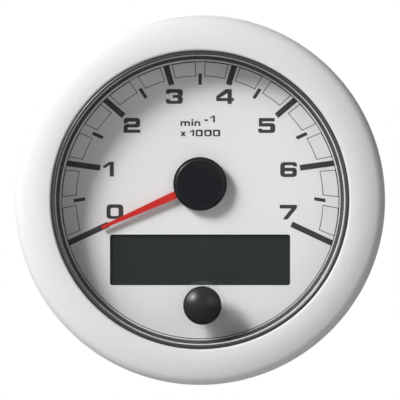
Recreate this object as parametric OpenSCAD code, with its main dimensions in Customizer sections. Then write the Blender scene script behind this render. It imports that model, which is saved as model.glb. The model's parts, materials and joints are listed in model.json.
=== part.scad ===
// Round boat tachometer for a dashboard cut-out: white snap-on bezel, clear lens,
// stepper-driven pointer, display window, press button and a spinlock ring nut behind.
// Origin: centre of the panel seat. +Y runs into the panel, +Z is up.
// Shapes are drawn as seen from the front: x right, y up, z towards the viewer.

/* [Bezel] */
// Outer diameter of the bezel
bezel_d = 104; // [100:0.5:112]
// Height of the bezel's crest above the panel
bezel_h = 9.5; // [9.2:0.1:12]
// Width of the rim that rests on the panel, outside the locating shoulder
rim_w = 9.5; // [8.5:0.1:12]
// How far the bezel's lip reaches over the lens
lip_cover = 1.4; // [0.8:0.1:1.6]
// Radius of the roll from the crest down to the lip
lip_round = 2; // [1.8:0.05:2.4]
// Radius of the shallow crown outside the crest
crown_r = 16.5; // [14:0.5:24]
// Radius of the rolled outer edge
edge_r = 3.75; // [3:0.05:4.2]
// Wall thickness of the bezel moulding
bezel_wall = 1.8; // [1.4:0.1:2.2]
// Number of stiffening ribs inside the bezel
bezel_ribs = 24; // [12:2:36]
// Number of snap noses that hook under the flange
snap_count = 6; // [3:1:10]

/* [Panel seat] */
// Thickness of the panel gasket
gasket_t = 1; // [0.6:0.1:2]
// How far the gasket's edge lies inside the bezel's
gasket_inset = 1; // [0.6:0.1:2]
// Gap between the panel gasket and the parts around it
gasket_gap = 0.15; // [0.1:0.05:0.4]

/* [Lens] */
// How far the lens reaches beyond the locating shoulder
lens_over = 0.8; // [0.5:0.1:1]
// Thickness of the lens
lens_t = 2.2; // [1.5:0.1:2.6]
// Height of the lens seat above the panel
lens_seat = 5.3; // [4.6:0.1:6]
// Thickness of the flat part of the lens gasket
seal_t = 0.5; // [0.3:0.1:0.8]
// How far the lens gasket's bead shows inside the bezel's lip
bead_show = 0.95; // [0.7:0.05:1.2]
// Diameter of the bead's round section
bead_w = 0.9; // [0.6:0.1:1.2]

/* [Rings round the dial] */
// Height of the bright trim ring
trim_h = 0.8; // [0.5:0.1:1.4]
// How far the dial surround closes in between the trim ring and the dial
surround_taper = 0.9; // [0.5:0.1:1.2]
// Wall thickness of the dial surround
surround_wall = 0.8; // [0.6:0.1:0.85]

/* [Dial] */
// Depth of the dial's face behind the panel plane
dial_depth = 1.5; // [1:0.1:3]
// Thickness of the dial
dial_t = 0.6; // [0.4:0.1:1]
// Height of the pointer's axis above the gauge's centre
pointer_up = 4.5; // [3.5:0.1:5.5]
// Thickness of the light guide behind the dial
guide_t = 2; // [1.6:0.1:3]
// Radial gap between the housing's bore and the parts stacked in it
stack_gap = 0.3; // [0.1:0.05:0.4]

/* [Display] */
// Width of the display window
lcd_w = 50.8; // [46:0.1:52]
// Height of the display window
lcd_h = 14.3; // [12:0.1:14.5]
// Distance of the window's centre below the gauge's centre
lcd_down = 16.9; // [16.5:0.1:16.9]
// Corner radius of the window
lcd_corner = 0.7; // [0.4:0.1:1.5]
// Thickness of the display glass
lcd_t = 1.7; // [1.2:0.1:2]
// Border of the display glass beyond the window, left and right
lcd_side = 1.75; // [1:0.25:2]
// Border of the display glass above the window
lcd_top = 1.3; // [0.8:0.1:1.5]
// Border of the display glass below the window
lcd_foot = 0.4; // [0.3:0.05:0.45]
// Sheet thickness of the display's metal frame
lcd_sheet = 0.35; // [0.25:0.05:0.4]

/* [Pointer] */
// Length of the pointer from its axis
arm_len = 30.4; // [26:0.2:32]
// Width of the pointer where it leaves the cap
arm_root = 2.2; // [1.6:0.1:3]
// Width of the pointer's tip
arm_tip = 0.9; // [0.6:0.1:1.4]
// Thickness of the pointer
arm_t = 0.7; // [0.5:0.1:0.9]
// Diameter of the pointer's cap
cap_d = 15.1; // [13:0.1:16]
// Height of the cap's top above the dial
cap_rise = 3.7; // [3.4:0.1:4.4]
// Width of the bevel round the cap
cap_bevel = 0.8; // [0.2:0.05:0.9]
// Direction of the zero mark, from the right, turning left
zero_angle = 204; // [200:1:210]

/* [Button] */
// Diameter of the button
button_d = 10.7; // [9.6:0.1:10.8]
// Height of the button's top above the panel
button_top = 10; // [9.8:0.1:12]
// Distance of the button right of the gauge's centre
button_x = 0.65; // [0:0.05:1]
// Gap between the display's frame and the button's guide tube
guide_clear = 0.23; // [0.2:0.01:0.6]
// Radius of the sphere that the button's dome is part of
dome_r = 7.8; // [6.5:0.1:12]
// Travel of the button
button_travel = 0.8; // [0.5:0.1:0.9]
// Radial gap between the button and the lens
button_gap = 0.15; // [0.1:0.05:0.3]
// Outer diameter of the raised collar on the lens
collar_d = 12.8; // [12.2:0.1:14]
// Height of the raised collar on the lens
collar_h = 0.8; // [0.4:0.1:1]
// Diameter of the button's stem behind the dial
stem_d = 7.2; // [6.6:0.1:7.2]

/* [Housing] */
// Length of the locating shoulder
shoulder_len = 3; // [2:0.25:4]
// How far the thread's crest lies below the locating shoulder
thread_step = 0.5; // [0.45:0.05:0.7]
// Depth of the housing behind the panel
barrel_len = 32; // [31:0.5:40]
// Wall thickness of the housing at the locating shoulder
housing_wall = 2; // [1.6:0.1:2.4]
// Thickness of the housing's back wall
back_wall = 2; // [1.5:0.25:2.5]
// Gap between the flange and the bezel's skirt
flange_gap = 1.2; // [0.8:0.1:2]
// Thickness of the flange
flange_t = 1.8; // [1.4:0.1:1.9]
// Number of ribs inside the housing that carry the main board
rib_count = 6; // [4:1:8]

/* [Spinlock nut] */
// Distance of the washer's face behind the panel plane at rest
nut_rest = 10; // [6:0.5:14]
// Height of the nut
nut_h = 10.7; // [8:0.1:11]
// Wall thickness of the nut's ring
nut_wall = 3.42; // [2.8:0.01:4]
// Height of the finger lugs above the ring
lug_h = 4.5; // [2:0.1:6]
// Width of the finger lugs
lug_w = 9; // [6:0.5:12]
// Number of finger lugs
lug_count = 8; // [6:1:12]
// Thickness of the slip washer
washer_t = 1.2; // [0.8:0.1:2]
// Radial running gap of the nut and washer on the housing
nut_gap = 0.08; // [0.05:0.01:0.1]

/* [Boards] */
// Height of the carrier between the light guide and the main board
carrier_h = 3.9; // [3.7:0.1:5]
// Thickness of both circuit boards
board_t = 1.6; // [1:0.1:2]
// Width of the connector board
rear_board_w = 46; // [44:0.5:50]
// Height of the connector board
rear_board_h = 52; // [50:0.5:54]
// Height of the bosses that carry the connector board
boss_h = 4.4; // [4:0.1:6]

/* [Stepper motor] */
// Outer diameter of the motor
motor_d = 31; // [30.6:0.2:33]
// Height of the motor
motor_h = 9; // [8.8:0.1:10]
// Thickness of the motor's base and cover plates
plate_t = 1.2; // [1:0.05:1.3]
// Gear module
gear_module = 0.2; // [0.18:0.01:0.2]
// Teeth of the two pinions
pinion_teeth = 12; // [12:1:13]
// Teeth of the two wheels
wheel_teeth = 72; // [66:2:72]
// Face width of the wheels
wheel_w = 1.2; // [0.8:0.1:1.3]
// Play between meshing flanks
backlash = 0.05; // [0.04:0.01:0.08]
// Diameter of the pointer shaft
shaft_d = 2; // [1.8:0.1:2.4]
// Diameter of the shaft's rear pivot, the idler pin and the rotor shaft
pivot_d = 1; // [0.8:0.1:1.2]
// Diameter of the rotor magnet
magnet_d = 6; // [5:0.2:6.2]
// Radial running gap of a shaft in its bearing
bearing_gap = 0.05; // [0.02:0.01:0.08]

/* [Rear connectors] */
// Number of contact columns of the rear plug socket
plug_columns = 7; // [3:1:7]
// Pitch of the contacts
plug_pitch = 3; // [2.5:0.1:3.2]
// How far the plug socket stands out behind the housing
plug_len = 12; // [10:0.5:14]
// Distance of the plug socket below the gauge's centre
plug_down = 12; // [10:0.5:13]
// Thread diameter of the round bus socket
bus_d = 12; // [11:0.5:13]
// How far the bus socket stands out behind the housing
bus_len = 12.5; // [11:0.5:14]
// Distance of the bus socket above the gauge's centre
bus_up = 15; // [14:0.5:16]

/* [Hidden] */
$fn = 96;

// A cut runs this far past the face that it opens
eps = 0.5;
// Gap between stacked parts that lie side by side
side_gap = 0.2;

// Radii, each from the bezel's diameter through named widths and gaps
bezel_r = bezel_d / 2;
shoulder_r = bezel_r - rim_w;
neck_r = shoulder_r - thread_step;
bolt_r = shoulder_r - thread_step;
bore_r = shoulder_r - housing_wall;
stack_r = bore_r - stack_gap;
ring_out_r = bore_r + surround_wall;
lens_r = shoulder_r + lens_over;
lip_r = lens_r - lip_cover;
lip_from = 26;
crest_r = lip_r + lip_round * cos(lip_from);
bead_in_r = lip_r - bead_show;
pocket_r = lens_r + side_gap;
collar_r = pocket_r + bezel_wall;
skirt_r = bezel_r - bezel_wall;
flange_r = skirt_r - flange_gap;
nut_bore = shoulder_r + nut_gap;
nut_r = nut_bore + nut_wall;
washer_r = nut_r + 2.5;

// Heights in front of the panel plane, which is zero
snap_h = 0.6;
flange_z = gasket_t + snap_h;
flange_top = flange_z + flange_t;
lens_top = lens_seat + lens_t;
lip_z = lens_top + seal_t;

// The layout on and behind the dial is drawn for this bore and grows with it
layout_bore = 81;
fit = 2 * bore_r / layout_bore;
axis_up = fit * pointer_up;
window_w = fit * lcd_w;
window_h = fit * lcd_h;
pitch = fit * plug_pitch;
rear_board = fit * [rear_board_w, rear_board_h];

// Depths of the stack behind the panel plane
dial_z = -dial_depth;
dial_back = dial_z - dial_t;
guide_back = dial_back - guide_t;
carrier_back = guide_back - carrier_h;
board_back = carrier_back - board_t;
motor_back = board_back - motor_h;
back_in = back_wall - barrel_len;
rear_back = back_in + boss_h;
rear_front = rear_back + board_t;

// Carrier plate, rim and screw places
carrier_plate = 1.2;
carrier_rim = 1.6;
screw_ring = fit * 36;
screw_at = [90, 210, 330];
carrier_boss_r = 2.4;

// Display layers, from the dial back to the main board
lcd_y = -fit * lcd_down;
glass_w = window_w + 2 * lcd_side;
glass_lo = lcd_y - window_h / 2 - lcd_foot;
glass_hi = lcd_y + window_h / 2 + lcd_top;
frame_lip = 0.25;
glass_front = dial_back - frame_lip;
glass_back = glass_front - lcd_t;
strip_w = 1.1;
frame_play = 0.05;
frame_out = lcd_sheet + frame_play;

// Button levels
button_r = button_d / 2;
button_low = dial_z + 1;
stem_r = stem_d / 2;
stem_flange_r = stem_r + 0.35;
guide_r = stem_flange_r + 0.07;
guide_wall = 0.55;
button_pos = [
    fit * button_x,
    glass_lo - frame_out - guide_clear - guide_r - guide_wall
];
stop_gap = 0.3;
switch_h = 3;
plunger_r = 1.6;
plunger_top = carrier_back + switch_h + 1.3;

// Gear train, as places round the pointer's axis
pinion_r = gear_module * pinion_teeth / 2;
wheel_r = gear_module * wheel_teeth / 2;
centre_gap = pinion_r + wheel_r;
pressure = 20;
addendum = 0.75 * gear_module;
dedendum = 1.1 * gear_module;
idler_dir = -50;
rotor_dir = -130;
idler_at = centre_gap * [cos(idler_dir), sin(idler_dir)];
rotor_at = idler_at + centre_gap * [cos(rotor_dir), sin(rotor_dir)];
motor_mid = [0, rotor_at[1] / 2 + 0.4];
motor_wall = 1;
base_top = motor_back + plate_t;
cover_back = board_back - plate_t;
rear_wheel_z = base_top + 0.4;
pinion_w = wheel_w + 0.4;
front_wheel_z = rear_wheel_z + wheel_w + 0.5;
coil_r = 2.25;
coil_len = 7;
coil_z = cover_back - coil_r - 0.15;
coil_at = [7.9, rotor_at[1] + 0.8];
stator_t = 1;
stator_w = 1.6;
magnet_h = 4.1;
blind = 0.6;

// Pointer levels
arm_z = dial_z + 1.15;
cap_low = dial_z + 0.6;
cap_top = dial_z + cap_rise;
cap_wall = 0.8;
shaft_end = cap_top - cap_wall - 0.1;

// Gap between the slip washer and the nut
washer_play = 0.1;

// Rear connectors
pin_w = 0.64;
plug_wall = 1.5;
plug_rows_h = 9.5;
plug_in_w = (plug_columns - 1) * pitch + 3;
plug_pos = [0, -fit * plug_down];
plug_end = -barrel_len - plug_len;
pin_recess = 4.6;
bus_pos = [0, fit * bus_up];
bus_r = bus_d / 2;
bus_neck_r = bus_r - 0.3;
bus_bore_r = bus_r - 1.4;
bus_end = -barrel_len - bus_len;
bus_nut_h = 2.5;
bus_seal_t = 0.8;
bus_thread_z = -barrel_len - bus_seal_t - bus_nut_h - 0.6;
boss_at = fit * [[-18.5, 23], [18.5, 23], [-18.5, -21], [18.5, -21]];
link_reach = 8.5;
link_columns = 5;
link_pitch = 2.54;
link_w = 5;
link_len = link_columns * link_pitch;
link_gap = 1.5;
link_base_h = 2.5;
link_dip = 5;
link_at = [-(motor_d + link_w) / 2 - link_gap, 0];
vent_at = fit * [23, 7];
vent_r = 4;

// Points along an arc
function arc(centre, r, from, to, steps) = [
    for (i = [0:steps])
        let (a = from + (to - from) * i / steps)
        centre + r * [cos(a), sin(a)]
];

// The involute's polar angle at a pressure angle, in degrees
function involute(a) = tan(a) * 180 / PI - a;

// Half the angle that a tooth covers at radius r
function tooth_half(r, teeth) =
    let (
        pitch_r = gear_module * teeth / 2,
        base_r = pitch_r * cos(pressure),
        thin = backlash / 4 / pitch_r * 180 / PI
    )
    90 / teeth - thin + involute(pressure) - (r > base_r ? involute(acos(base_r / r)) : 0);

// Outline of an involute gear with its first tooth on the x axis
function gear_outline(teeth) =
    let (
        pitch_r = gear_module * teeth / 2,
        base_r = pitch_r * cos(pressure),
        root_r = pitch_r - dedendum,
        rise = root_r < base_r
            ? [root_r, base_r, pitch_r, pitch_r + addendum]
            : [root_r, pitch_r, pitch_r + addendum]
    )
    [
        for (t = [0:teeth - 1])
            for (side = [-1, 1])
                for (k = [0:len(rise) - 1])
                    let (
                        r = side < 0 ? rise[k] : rise[len(rise) - 1 - k],
                        a = t * 360 / teeth + side * tooth_half(r, teeth)
                    )
                    r * [cos(a), sin(a)]
    ];

// Turns the front view into the row's frame
module placed() {
    rotate([90, 0, 0])
        children();
}

// A straight round bar between two heights
module bar(r, from, to) {
    translate([0, 0, from])
        cylinder(r = r, h = to - from);
}

// A tube between two heights
module tube(r_out, r_in, from, to) {
    difference() {
        bar(r_out, from, to);
        bar(r_in, from - eps, to + eps);
    }
}

// A block given by its centre, its size and two heights
module block(centre, size, from, to) {
    translate([centre[0] - size[0] / 2, centre[1] - size[1] / 2, from])
        cube([size[0], size[1], to - from]);
}

// A plate with round corners between two heights
module round_plate(centre, size, r, from, to) {
    translate([centre[0], centre[1], from])
        linear_extrude(to - from)
            round_rect(size, r);
}

module round_rect(size, r) {
    square([size[0] - 2 * r, size[1]], center = true);
    square([size[0], size[1] - 2 * r], center = true);
    for (x = [-1, 1], y = [-1, 1])
        translate([x * (size[0] / 2 - r), y * (size[1] / 2 - r)])
            circle(r = r);
}

module gear(teeth, from, width, turn) {
    rotate([0, 0, turn])
        translate([0, 0, from])
            linear_extrude(width)
                polygon(gear_outline(teeth));
}

module at_pointer() {
    placed()
        translate([0, axis_up, 0])
            children();
}

module at_button() {
    placed()
        translate([button_pos[0], button_pos[1], 0])
            children();
}

// Bezel: rolled lip, shallow crown and rolled outer edge over a hollow moulding
edge_from = asin((bezel_r - edge_r - crest_r) / (crown_r - edge_r));
edge_at = [
    bezel_r - edge_r,
    bezel_h - crown_r + (crown_r - edge_r) * cos(edge_from)
];
hollow_from = asin((collar_r - crest_r) / (crown_r - bezel_wall));
facet = 6;

function bezel_outside() = concat(
    [[lip_r, lip_z]],
    arc([crest_r, bezel_h - lip_round], lip_round, 180 - lip_from, 90, 8),
    arc([crest_r, bezel_h - crown_r], crown_r, 90 - facet / 3, 90 - edge_from, 6),
    arc(edge_at, edge_r, 90 - edge_from - facet, 0, 10)
);

function bezel_hollow() = concat(
    [[collar_r, flange_top + side_gap / 4]],
    arc([crest_r, bezel_h - crown_r], crown_r - bezel_wall,
        90 - hollow_from, 90 - edge_from, 3),
    arc(edge_at, edge_r - bezel_wall, 90 - edge_from - facet, 0, 6),
    [[skirt_r, flange_top + side_gap / 4]]
);

module front_bezel() {
    rib_z = flange_top + side_gap / 4;
    color([0.93, 0.93, 0.92])
        placed() {
            rotate_extrude()
                difference() {
                    polygon(concat(
                        bezel_outside(),
                        [[bezel_r, gasket_t], [pocket_r, gasket_t], [pocket_r, lip_z]]
                    ));
                    polygon(bezel_hollow());
                    translate([0, gasket_t - eps])
                        square([skirt_r, rib_z - gasket_t + eps]);
                }
            intersection() {
                rotate_extrude()
                    polygon(bezel_hollow());
                for (i = [0:bezel_ribs - 1])
                    rotate([0, 0, i * 360 / bezel_ribs])
                        block([skirt_r - 3, 0], [12, 1], rib_z, bezel_h);
            }
            for (i = [0:snap_count - 1])
                rotate([0, 0, (i + 0.5) * 360 / snap_count])
                    snap_nose();
        }
}

// A hook on the bezel's inside that grips the back of the flange
module snap_nose() {
    intersection() {
        rotate_extrude()
            polygon([
                [skirt_r + eps, gasket_t],
                [skirt_r + eps, flange_z - side_gap / 4],
                [flange_r - 0.5, flange_z - side_gap / 4],
                [skirt_r - 0.4, gasket_t]
            ]);
        block([skirt_r, 0], [6, 9], gasket_t, flange_z);
    }
}

module panel_gasket() {
    color([0.08, 0.08, 0.08])
        placed()
            tube(bezel_r - gasket_inset, shoulder_r + gasket_gap, 0, gasket_t);
}

module lens_gasket() {
    bead_r = bead_w / 2;
    color([0.07, 0.07, 0.07])
        placed()
            rotate_extrude() {
                translate([bead_in_r + bead_r, lens_top])
                    square([lens_r - bead_in_r - bead_r, seal_t]);
                intersection() {
                    translate([bead_in_r + bead_r, lens_top + bead_r])
                        circle(r = bead_r);
                    translate([bead_in_r, lens_top])
                        square([bead_r, bead_w]);
                }
            }
}

module lens() {
    edge = 0.3;
    color([0.85, 0.9, 0.92, 0.3])
        placed()
            difference() {
                union() {
                    rotate_extrude()
                        polygon([
                            [0, lens_seat], [lens_r - edge, lens_seat],
                            [lens_r, lens_seat + edge], [lens_r, lens_top - edge],
                            [lens_r - edge, lens_top], [0, lens_top]
                        ]);
                    translate(button_pos)
                        rotate_extrude()
                            polygon([
                                [0, lens_top - edge], [collar_d / 2, lens_top - edge],
                                [collar_d / 2, lens_top + collar_h - edge],
                                [collar_d / 2 - edge, lens_top + collar_h],
                                [0, lens_top + collar_h]
                            ]);
                }
                translate(button_pos)
                    bar(button_r + button_gap, lens_seat - eps, lens_top + collar_h + eps);
            }
}

module trim_ring() {
    color([0.78, 0.79, 0.8])
        placed()
            rotate_extrude()
                polygon([
                    [bore_r, lens_seat - trim_h],
                    [ring_out_r, lens_seat - trim_h],
                    [ring_out_r, lens_seat],
                    [ring_out_r - 0.1, lens_seat],
                    [bore_r, lens_seat - trim_h + 0.1]
                ]);
}

// Conical wall from the dial up to the trim ring, seated on the housing's inner step
module dial_surround() {
    color([0.09, 0.09, 0.1])
        placed()
            rotate_extrude()
                polygon([
                    [bore_r - surround_taper, dial_z],
                    [bore_r - side_gap / 2, dial_z],
                    [bore_r - side_gap / 2, 0],
                    [ring_out_r, 0],
                    [ring_out_r, lens_seat - trim_h],
                    [bore_r, lens_seat - trim_h]
                ]);
}

module dial() {
    color([0.9, 0.9, 0.9])
        placed()
            difference() {
                bar(stack_r, dial_back, dial_z);
                translate([0, axis_up, 0])
                    bar(shaft_d / 2 + 0.5, dial_back - eps, dial_z + eps);
                translate(button_pos)
                    bar(stem_r + button_gap, dial_back - eps, dial_z + eps);
                round_plate([0, lcd_y], [window_w, window_h], lcd_corner,
                    dial_back - eps, dial_z + eps);
            }
}

// The room that the display and the button guide take out of the parts around them
module display_room(from, to) {
    wide = glass_w + 2 * (frame_out + side_gap);
    low = glass_lo - frame_out - side_gap / 2;
    high = glass_hi + frame_out + side_gap;
    block([0, (low + high) / 2], [wide, high - low], from, to);
    translate(button_pos)
        bar(guide_r + guide_wall + side_gap / 2, from, to);
}

module light_guide() {
    color([0.85, 0.9, 0.95, 0.4])
        placed()
            difference() {
                bar(stack_r, guide_back, dial_back);
                translate([0, axis_up, 0])
                    bar(shaft_d / 2 + 1, guide_back - eps, dial_back + eps);
                display_room(guide_back - eps, dial_back + eps);
            }
}

module lcd_glass() {
    color([0.2, 0.22, 0.22])
        placed()
            block([0, (glass_lo + glass_hi) / 2], [glass_w, glass_hi - glass_lo],
                glass_back, glass_front);
}

// Folded sheet frame round the display, open over the window
module lcd_frame() {
    mid = [0, (glass_lo + glass_hi) / 2];
    size = [glass_w + 2 * frame_play, glass_hi - glass_lo + 2 * frame_play];
    sheet = 2 * [lcd_sheet, lcd_sheet];
    window = [0, lcd_y];
    color([0.7, 0.71, 0.72])
        placed()
            difference() {
                block(mid, size + sheet, carrier_back, dial_back);
                block(mid, size, carrier_back - eps, glass_front);
                block(window, [window_w + 0.4, window_h + 0.4], glass_front - eps,
                    dial_back + eps);
            }
}

module lcd_contacts() {
    color([0.85, 0.75, 0.6])
        placed()
            for (y = [glass_hi - strip_w / 2 - 0.1, glass_lo + strip_w / 2 + 0.1])
                block([0, y], [glass_w - 2, strip_w], carrier_back, glass_back);
}

module lcd_backlight() {
    low = glass_lo + strip_w + 0.3;
    high = glass_hi - strip_w - 0.3;
    color([0.92, 0.94, 0.9])
        placed()
            block([0, (low + high) / 2], [glass_w - 1, high - low], carrier_back, glass_back);
}

// Moulded carrier: top plate, rim and three screw bosses, with a light well for each lamp
module face_carrier() {
    plate_back = guide_back - carrier_plate;
    color([0.88, 0.88, 0.86])
        placed()
            difference() {
                union() {
                    bar(stack_r, plate_back, guide_back);
                    tube(stack_r, stack_r - carrier_rim, carrier_back, guide_back);
                    for (a = screw_at)
                        rotate([0, 0, a])
                            translate([screw_ring, 0, 0])
                                bar(carrier_boss_r, carrier_back, guide_back);
                }
                for (a = screw_at)
                    rotate([0, 0, a])
                        translate([screw_ring, 0, 0])
                            bar(1.05, carrier_back - eps, plate_back + 0.4);
                for (a = led_angles)
                    rotate([0, 0, a])
                        translate([led_ring, 0, 0])
                            bar(1.8, carrier_back - eps, guide_back + eps);
                translate([0, axis_up, 0])
                    bar(boss_r + side_gap, carrier_back - eps, guide_back + eps);
                display_room(carrier_back - eps, guide_back + eps);
            }
}

led_angles = [for (a = [-12:24:192]) a];
led_ring = fit * 31;
boss_r = 2.6;

module main_board() {
    color([0.05, 0.3, 0.18])
        placed()
            difference() {
                bar(stack_r, board_back, carrier_back);
                for (a = screw_at)
                    rotate([0, 0, a])
                        translate([screw_ring, 0, 0])
                            bar(1.3, board_back - eps, carrier_back + eps);
                translate([0, axis_up, 0]) {
                    bar(boss_r + side_gap, board_back - eps, carrier_back + eps);
                    motor_contacts(0.45, board_back - eps, carrier_back + eps);
                }
            }
}

module board_leds() {
    color([0.95, 0.93, 0.7])
        placed()
            for (a = led_angles)
                rotate([0, 0, a])
                    translate([led_ring, 0, 0])
                        block([0, 0], [1.6, 2.2], carrier_back, carrier_back + 0.9);
}

chip_at = fit * [0, 27];
chip_size = [12, 12];
chip_t = 1.4;

module controller_chip() {
    color([0.1, 0.1, 0.1])
        placed()
            block(chip_at, chip_size, board_back - chip_t, board_back);
}

// Screws with a low round head and a cross slot
module small_screw(head_z, shank_z, shank_r) {
    toward = shank_z > head_z ? 1 : -1;
    head = head_z - toward * 1.5;
    difference() {
        union() {
            bar(2.1, min(head, head_z), max(head, head_z));
            bar(shank_r, min(head_z, shank_z), max(head_z, shank_z));
        }
        for (turn = [0, 90])
            rotate([0, 0, turn])
                block([0, 0], [2.4, 0.5], head - 0.7, head + 0.7);
    }
}

module carrier_screws() {
    color([0.6, 0.6, 0.62])
        placed()
            for (a = screw_at)
                rotate([0, 0, a])
                    translate([screw_ring, 0, 0])
                        small_screw(board_back, guide_back - carrier_plate, 1);
}

// Stepper motor, round the pointer's axis
module motor_outline(r) {
    translate(motor_mid)
        circle(r = r);
}

module motor_contacts(r, from, to) {
    for (x = [-coil_at[0] - 2.6, -coil_at[0] + 2.6, coil_at[0] - 2.6, coil_at[0] + 2.6])
        translate([x, coil_at[1] + coil_len / 2 + 0.9])
            bar(r, from, to);
}

stator_top = coil_at[1] + coil_len / 2 + 0.5 + stator_w / 2;
stator_low = coil_at[1] - coil_len / 2 - 0.3 - stator_w / 2;

module motor_base() {
    posts = [[-coil_at[0], stator_low], [coil_at[0], stator_low], [-coil_at[0], stator_top]];
    color([0.85, 0.85, 0.83])
        at_pointer()
            difference() {
                translate([0, 0, motor_back])
                    linear_extrude(cover_back - motor_back)
                        motor_outline(motor_d / 2);
                difference() {
                    translate([0, 0, base_top])
                        linear_extrude(cover_back - base_top + eps)
                            motor_outline(motor_d / 2 - motor_wall);
                    for (p = posts)
                        translate(p)
                            bar(0.7, base_top - eps, coil_z - stator_t / 2);
                }
                bar(pivot_d / 2 + bearing_gap, motor_back + blind, base_top + eps);
                translate(rotor_at)
                    bar(pivot_d / 2 + bearing_gap, motor_back + blind, base_top + eps);
                translate(idler_at)
                    bar(pivot_d / 2, motor_back + blind, base_top + eps);
            }
}

module motor_cover() {
    color([0.8, 0.8, 0.78])
        at_pointer()
            difference() {
                union() {
                    translate([0, 0, cover_back])
                        linear_extrude(plate_t)
                            motor_outline(motor_d / 2);
                    bar(boss_r, cover_back, carrier_back);
                }
                bar(shaft_d / 2 + bearing_gap, cover_back - eps, carrier_back + eps);
                translate(rotor_at)
                    bar(pivot_d / 2 + bearing_gap, cover_back - eps, board_back - blind);
                translate(idler_at)
                    bar(pivot_d / 2, cover_back - eps, board_back - blind);
                motor_contacts(0.4, cover_back - eps, board_back + eps);
            }
}

// Flat laminations: a ring of pole shoes round the magnet and a core through each coil
module motor_stator() {
    from = coil_z - stator_t / 2;
    shoe_in = magnet_d / 2 + 0.3;
    color([0.55, 0.56, 0.58])
        at_pointer()
            translate([0, 0, from])
                linear_extrude(stator_t)
                    difference() {
                        union() {
                            translate(rotor_at)
                                circle(r = shoe_in + 1.4);
                            for (x = [-1, 1])
                                translate([x * coil_at[0], (stator_top + stator_low) / 2])
                                    square([stator_w, stator_top - stator_low + stator_w],
                                        center = true);
                            for (y = [stator_top, stator_low])
                                translate([0, y])
                                    square([2 * coil_at[0] + stator_w, stator_w],
                                        center = true);
                            translate([0, (stator_top + rotor_at[1]) / 2])
                                square([stator_w, stator_top - rotor_at[1]], center = true);
                        }
                        translate(rotor_at)
                            circle(r = shoe_in);
                        translate(idler_at)
                            circle(r = pinion_r + 1);
                    }
}

module motor_coils() {
    color([0.72, 0.35, 0.15])
        at_pointer()
            for (x = [-1, 1])
                translate([x * coil_at[0], coil_at[1], coil_z])
                    rotate([90, 0, 0])
                        difference() {
                            union() {
                                cylinder(r = coil_r - 0.25, h = coil_len, center = true);
                                for (end = [-1, 1])
                                    translate([0, 0, end * (coil_len - 0.5) / 2])
                                        cylinder(r = coil_r, h = 0.5, center = true);
                            }
                            cube([stator_w + 0.1, stator_t + 0.1, coil_len + 2 * eps],
                                center = true);
                        }
}

module motor_pins() {
    color([0.85, 0.83, 0.75])
        at_pointer()
            motor_contacts(0.35, cover_back - 0.6, carrier_back + 0.6);
}

module idler_pin() {
    color([0.75, 0.76, 0.78])
        at_pointer()
            translate(idler_at)
                bar(pivot_d / 2, motor_back + blind, board_back - blind);
}

module output_gear() {
    color([0.9, 0.88, 0.78])
        at_pointer()
            difference() {
                union() {
                    gear(wheel_teeth, front_wheel_z, wheel_w, idler_dir);
                    bar(shaft_d / 2 + 0.8, front_wheel_z, cover_back - side_gap);
                }
                bar(shaft_d / 2, front_wheel_z - eps, cover_back + eps);
                for (i = [0:4])
                    rotate([0, 0, i * 72])
                        translate([wheel_r * 0.58, 0])
                            bar(1.2, front_wheel_z - eps, front_wheel_z + wheel_w + eps);
            }
}

module pointer_shaft() {
    color([0.75, 0.76, 0.78])
        at_pointer() {
            bar(shaft_d / 2, front_wheel_z, shaft_end);
            bar(pivot_d / 2, motor_back + blind + 0.1, front_wheel_z);
        }
}

// Flat pointer with a round eye on the shaft and a short tail under the cap
module pointer_arm() {
    eye_r = shaft_d / 2 + 2.2;
    tail = cap_d / 2 - cap_wall - 0.4;
    reach = fit * arm_len;
    axis_w = arm_tip + (arm_root - arm_tip) * reach / (reach - cap_d / 2);
    color([0.84, 0.14, 0.1])
        at_pointer()
            rotate([0, 0, zero_angle])
                difference() {
                    union() {
                        translate([0, 0, arm_z])
                            linear_extrude(arm_t)
                                polygon([
                                    [-tail, -arm_root], [-tail, arm_root],
                                    [0, axis_w / 2], [reach, arm_tip / 2],
                                    [reach, -arm_tip / 2], [0, -axis_w / 2]
                                ]);
                        bar(eye_r, arm_z, arm_z + arm_t);
                    }
                    bar(shaft_d / 2, arm_z - eps, arm_z + arm_t + eps);
                }
}

// Hollow cap over the pointer's eye, with a bevelled rim and a notch for the arm
module pointer_cap() {
    color([0.12, 0.12, 0.13])
        at_pointer()
            difference() {
                rotate_extrude()
                    polygon([
                        [0, cap_low], [cap_d / 2, cap_low], [cap_d / 2, cap_top - cap_bevel],
                        [cap_d / 2 - cap_bevel, cap_top], [0, cap_top]
                    ]);
                tube(cap_d / 2 - cap_wall, shaft_d / 2 + 1.4, cap_low - eps,
                    cap_top - cap_wall);
                bar(shaft_d / 2 + 2.4, cap_low - eps, arm_z + arm_t);
                bar(shaft_d / 2, cap_low - eps, shaft_end + 0.1);
                rotate([0, 0, zero_angle])
                    block([cap_d / 2, 0], [4, arm_root + 0.4], cap_low - eps,
                        arm_z + arm_t + 0.1);
            }
}

module idler_gear() {
    color([0.93, 0.93, 0.9])
        at_pointer()
            translate(idler_at)
                difference() {
                    union() {
                        gear(wheel_teeth, rear_wheel_z, wheel_w, rotor_dir);
                        gear(pinion_teeth, rear_wheel_z + eps, wheel_w + pinion_w - eps,
                            idler_dir + 180 + 180 / pinion_teeth);
                    }
                    bar(pivot_d / 2 + bearing_gap, rear_wheel_z - eps,
                        rear_wheel_z + wheel_w + pinion_w + eps);
                    for (i = [0:4])
                        rotate([0, 0, i * 72])
                            translate([wheel_r * 0.58, 0])
                                bar(1.2, rear_wheel_z - eps, rear_wheel_z + wheel_w + eps);
                }
}

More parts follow.
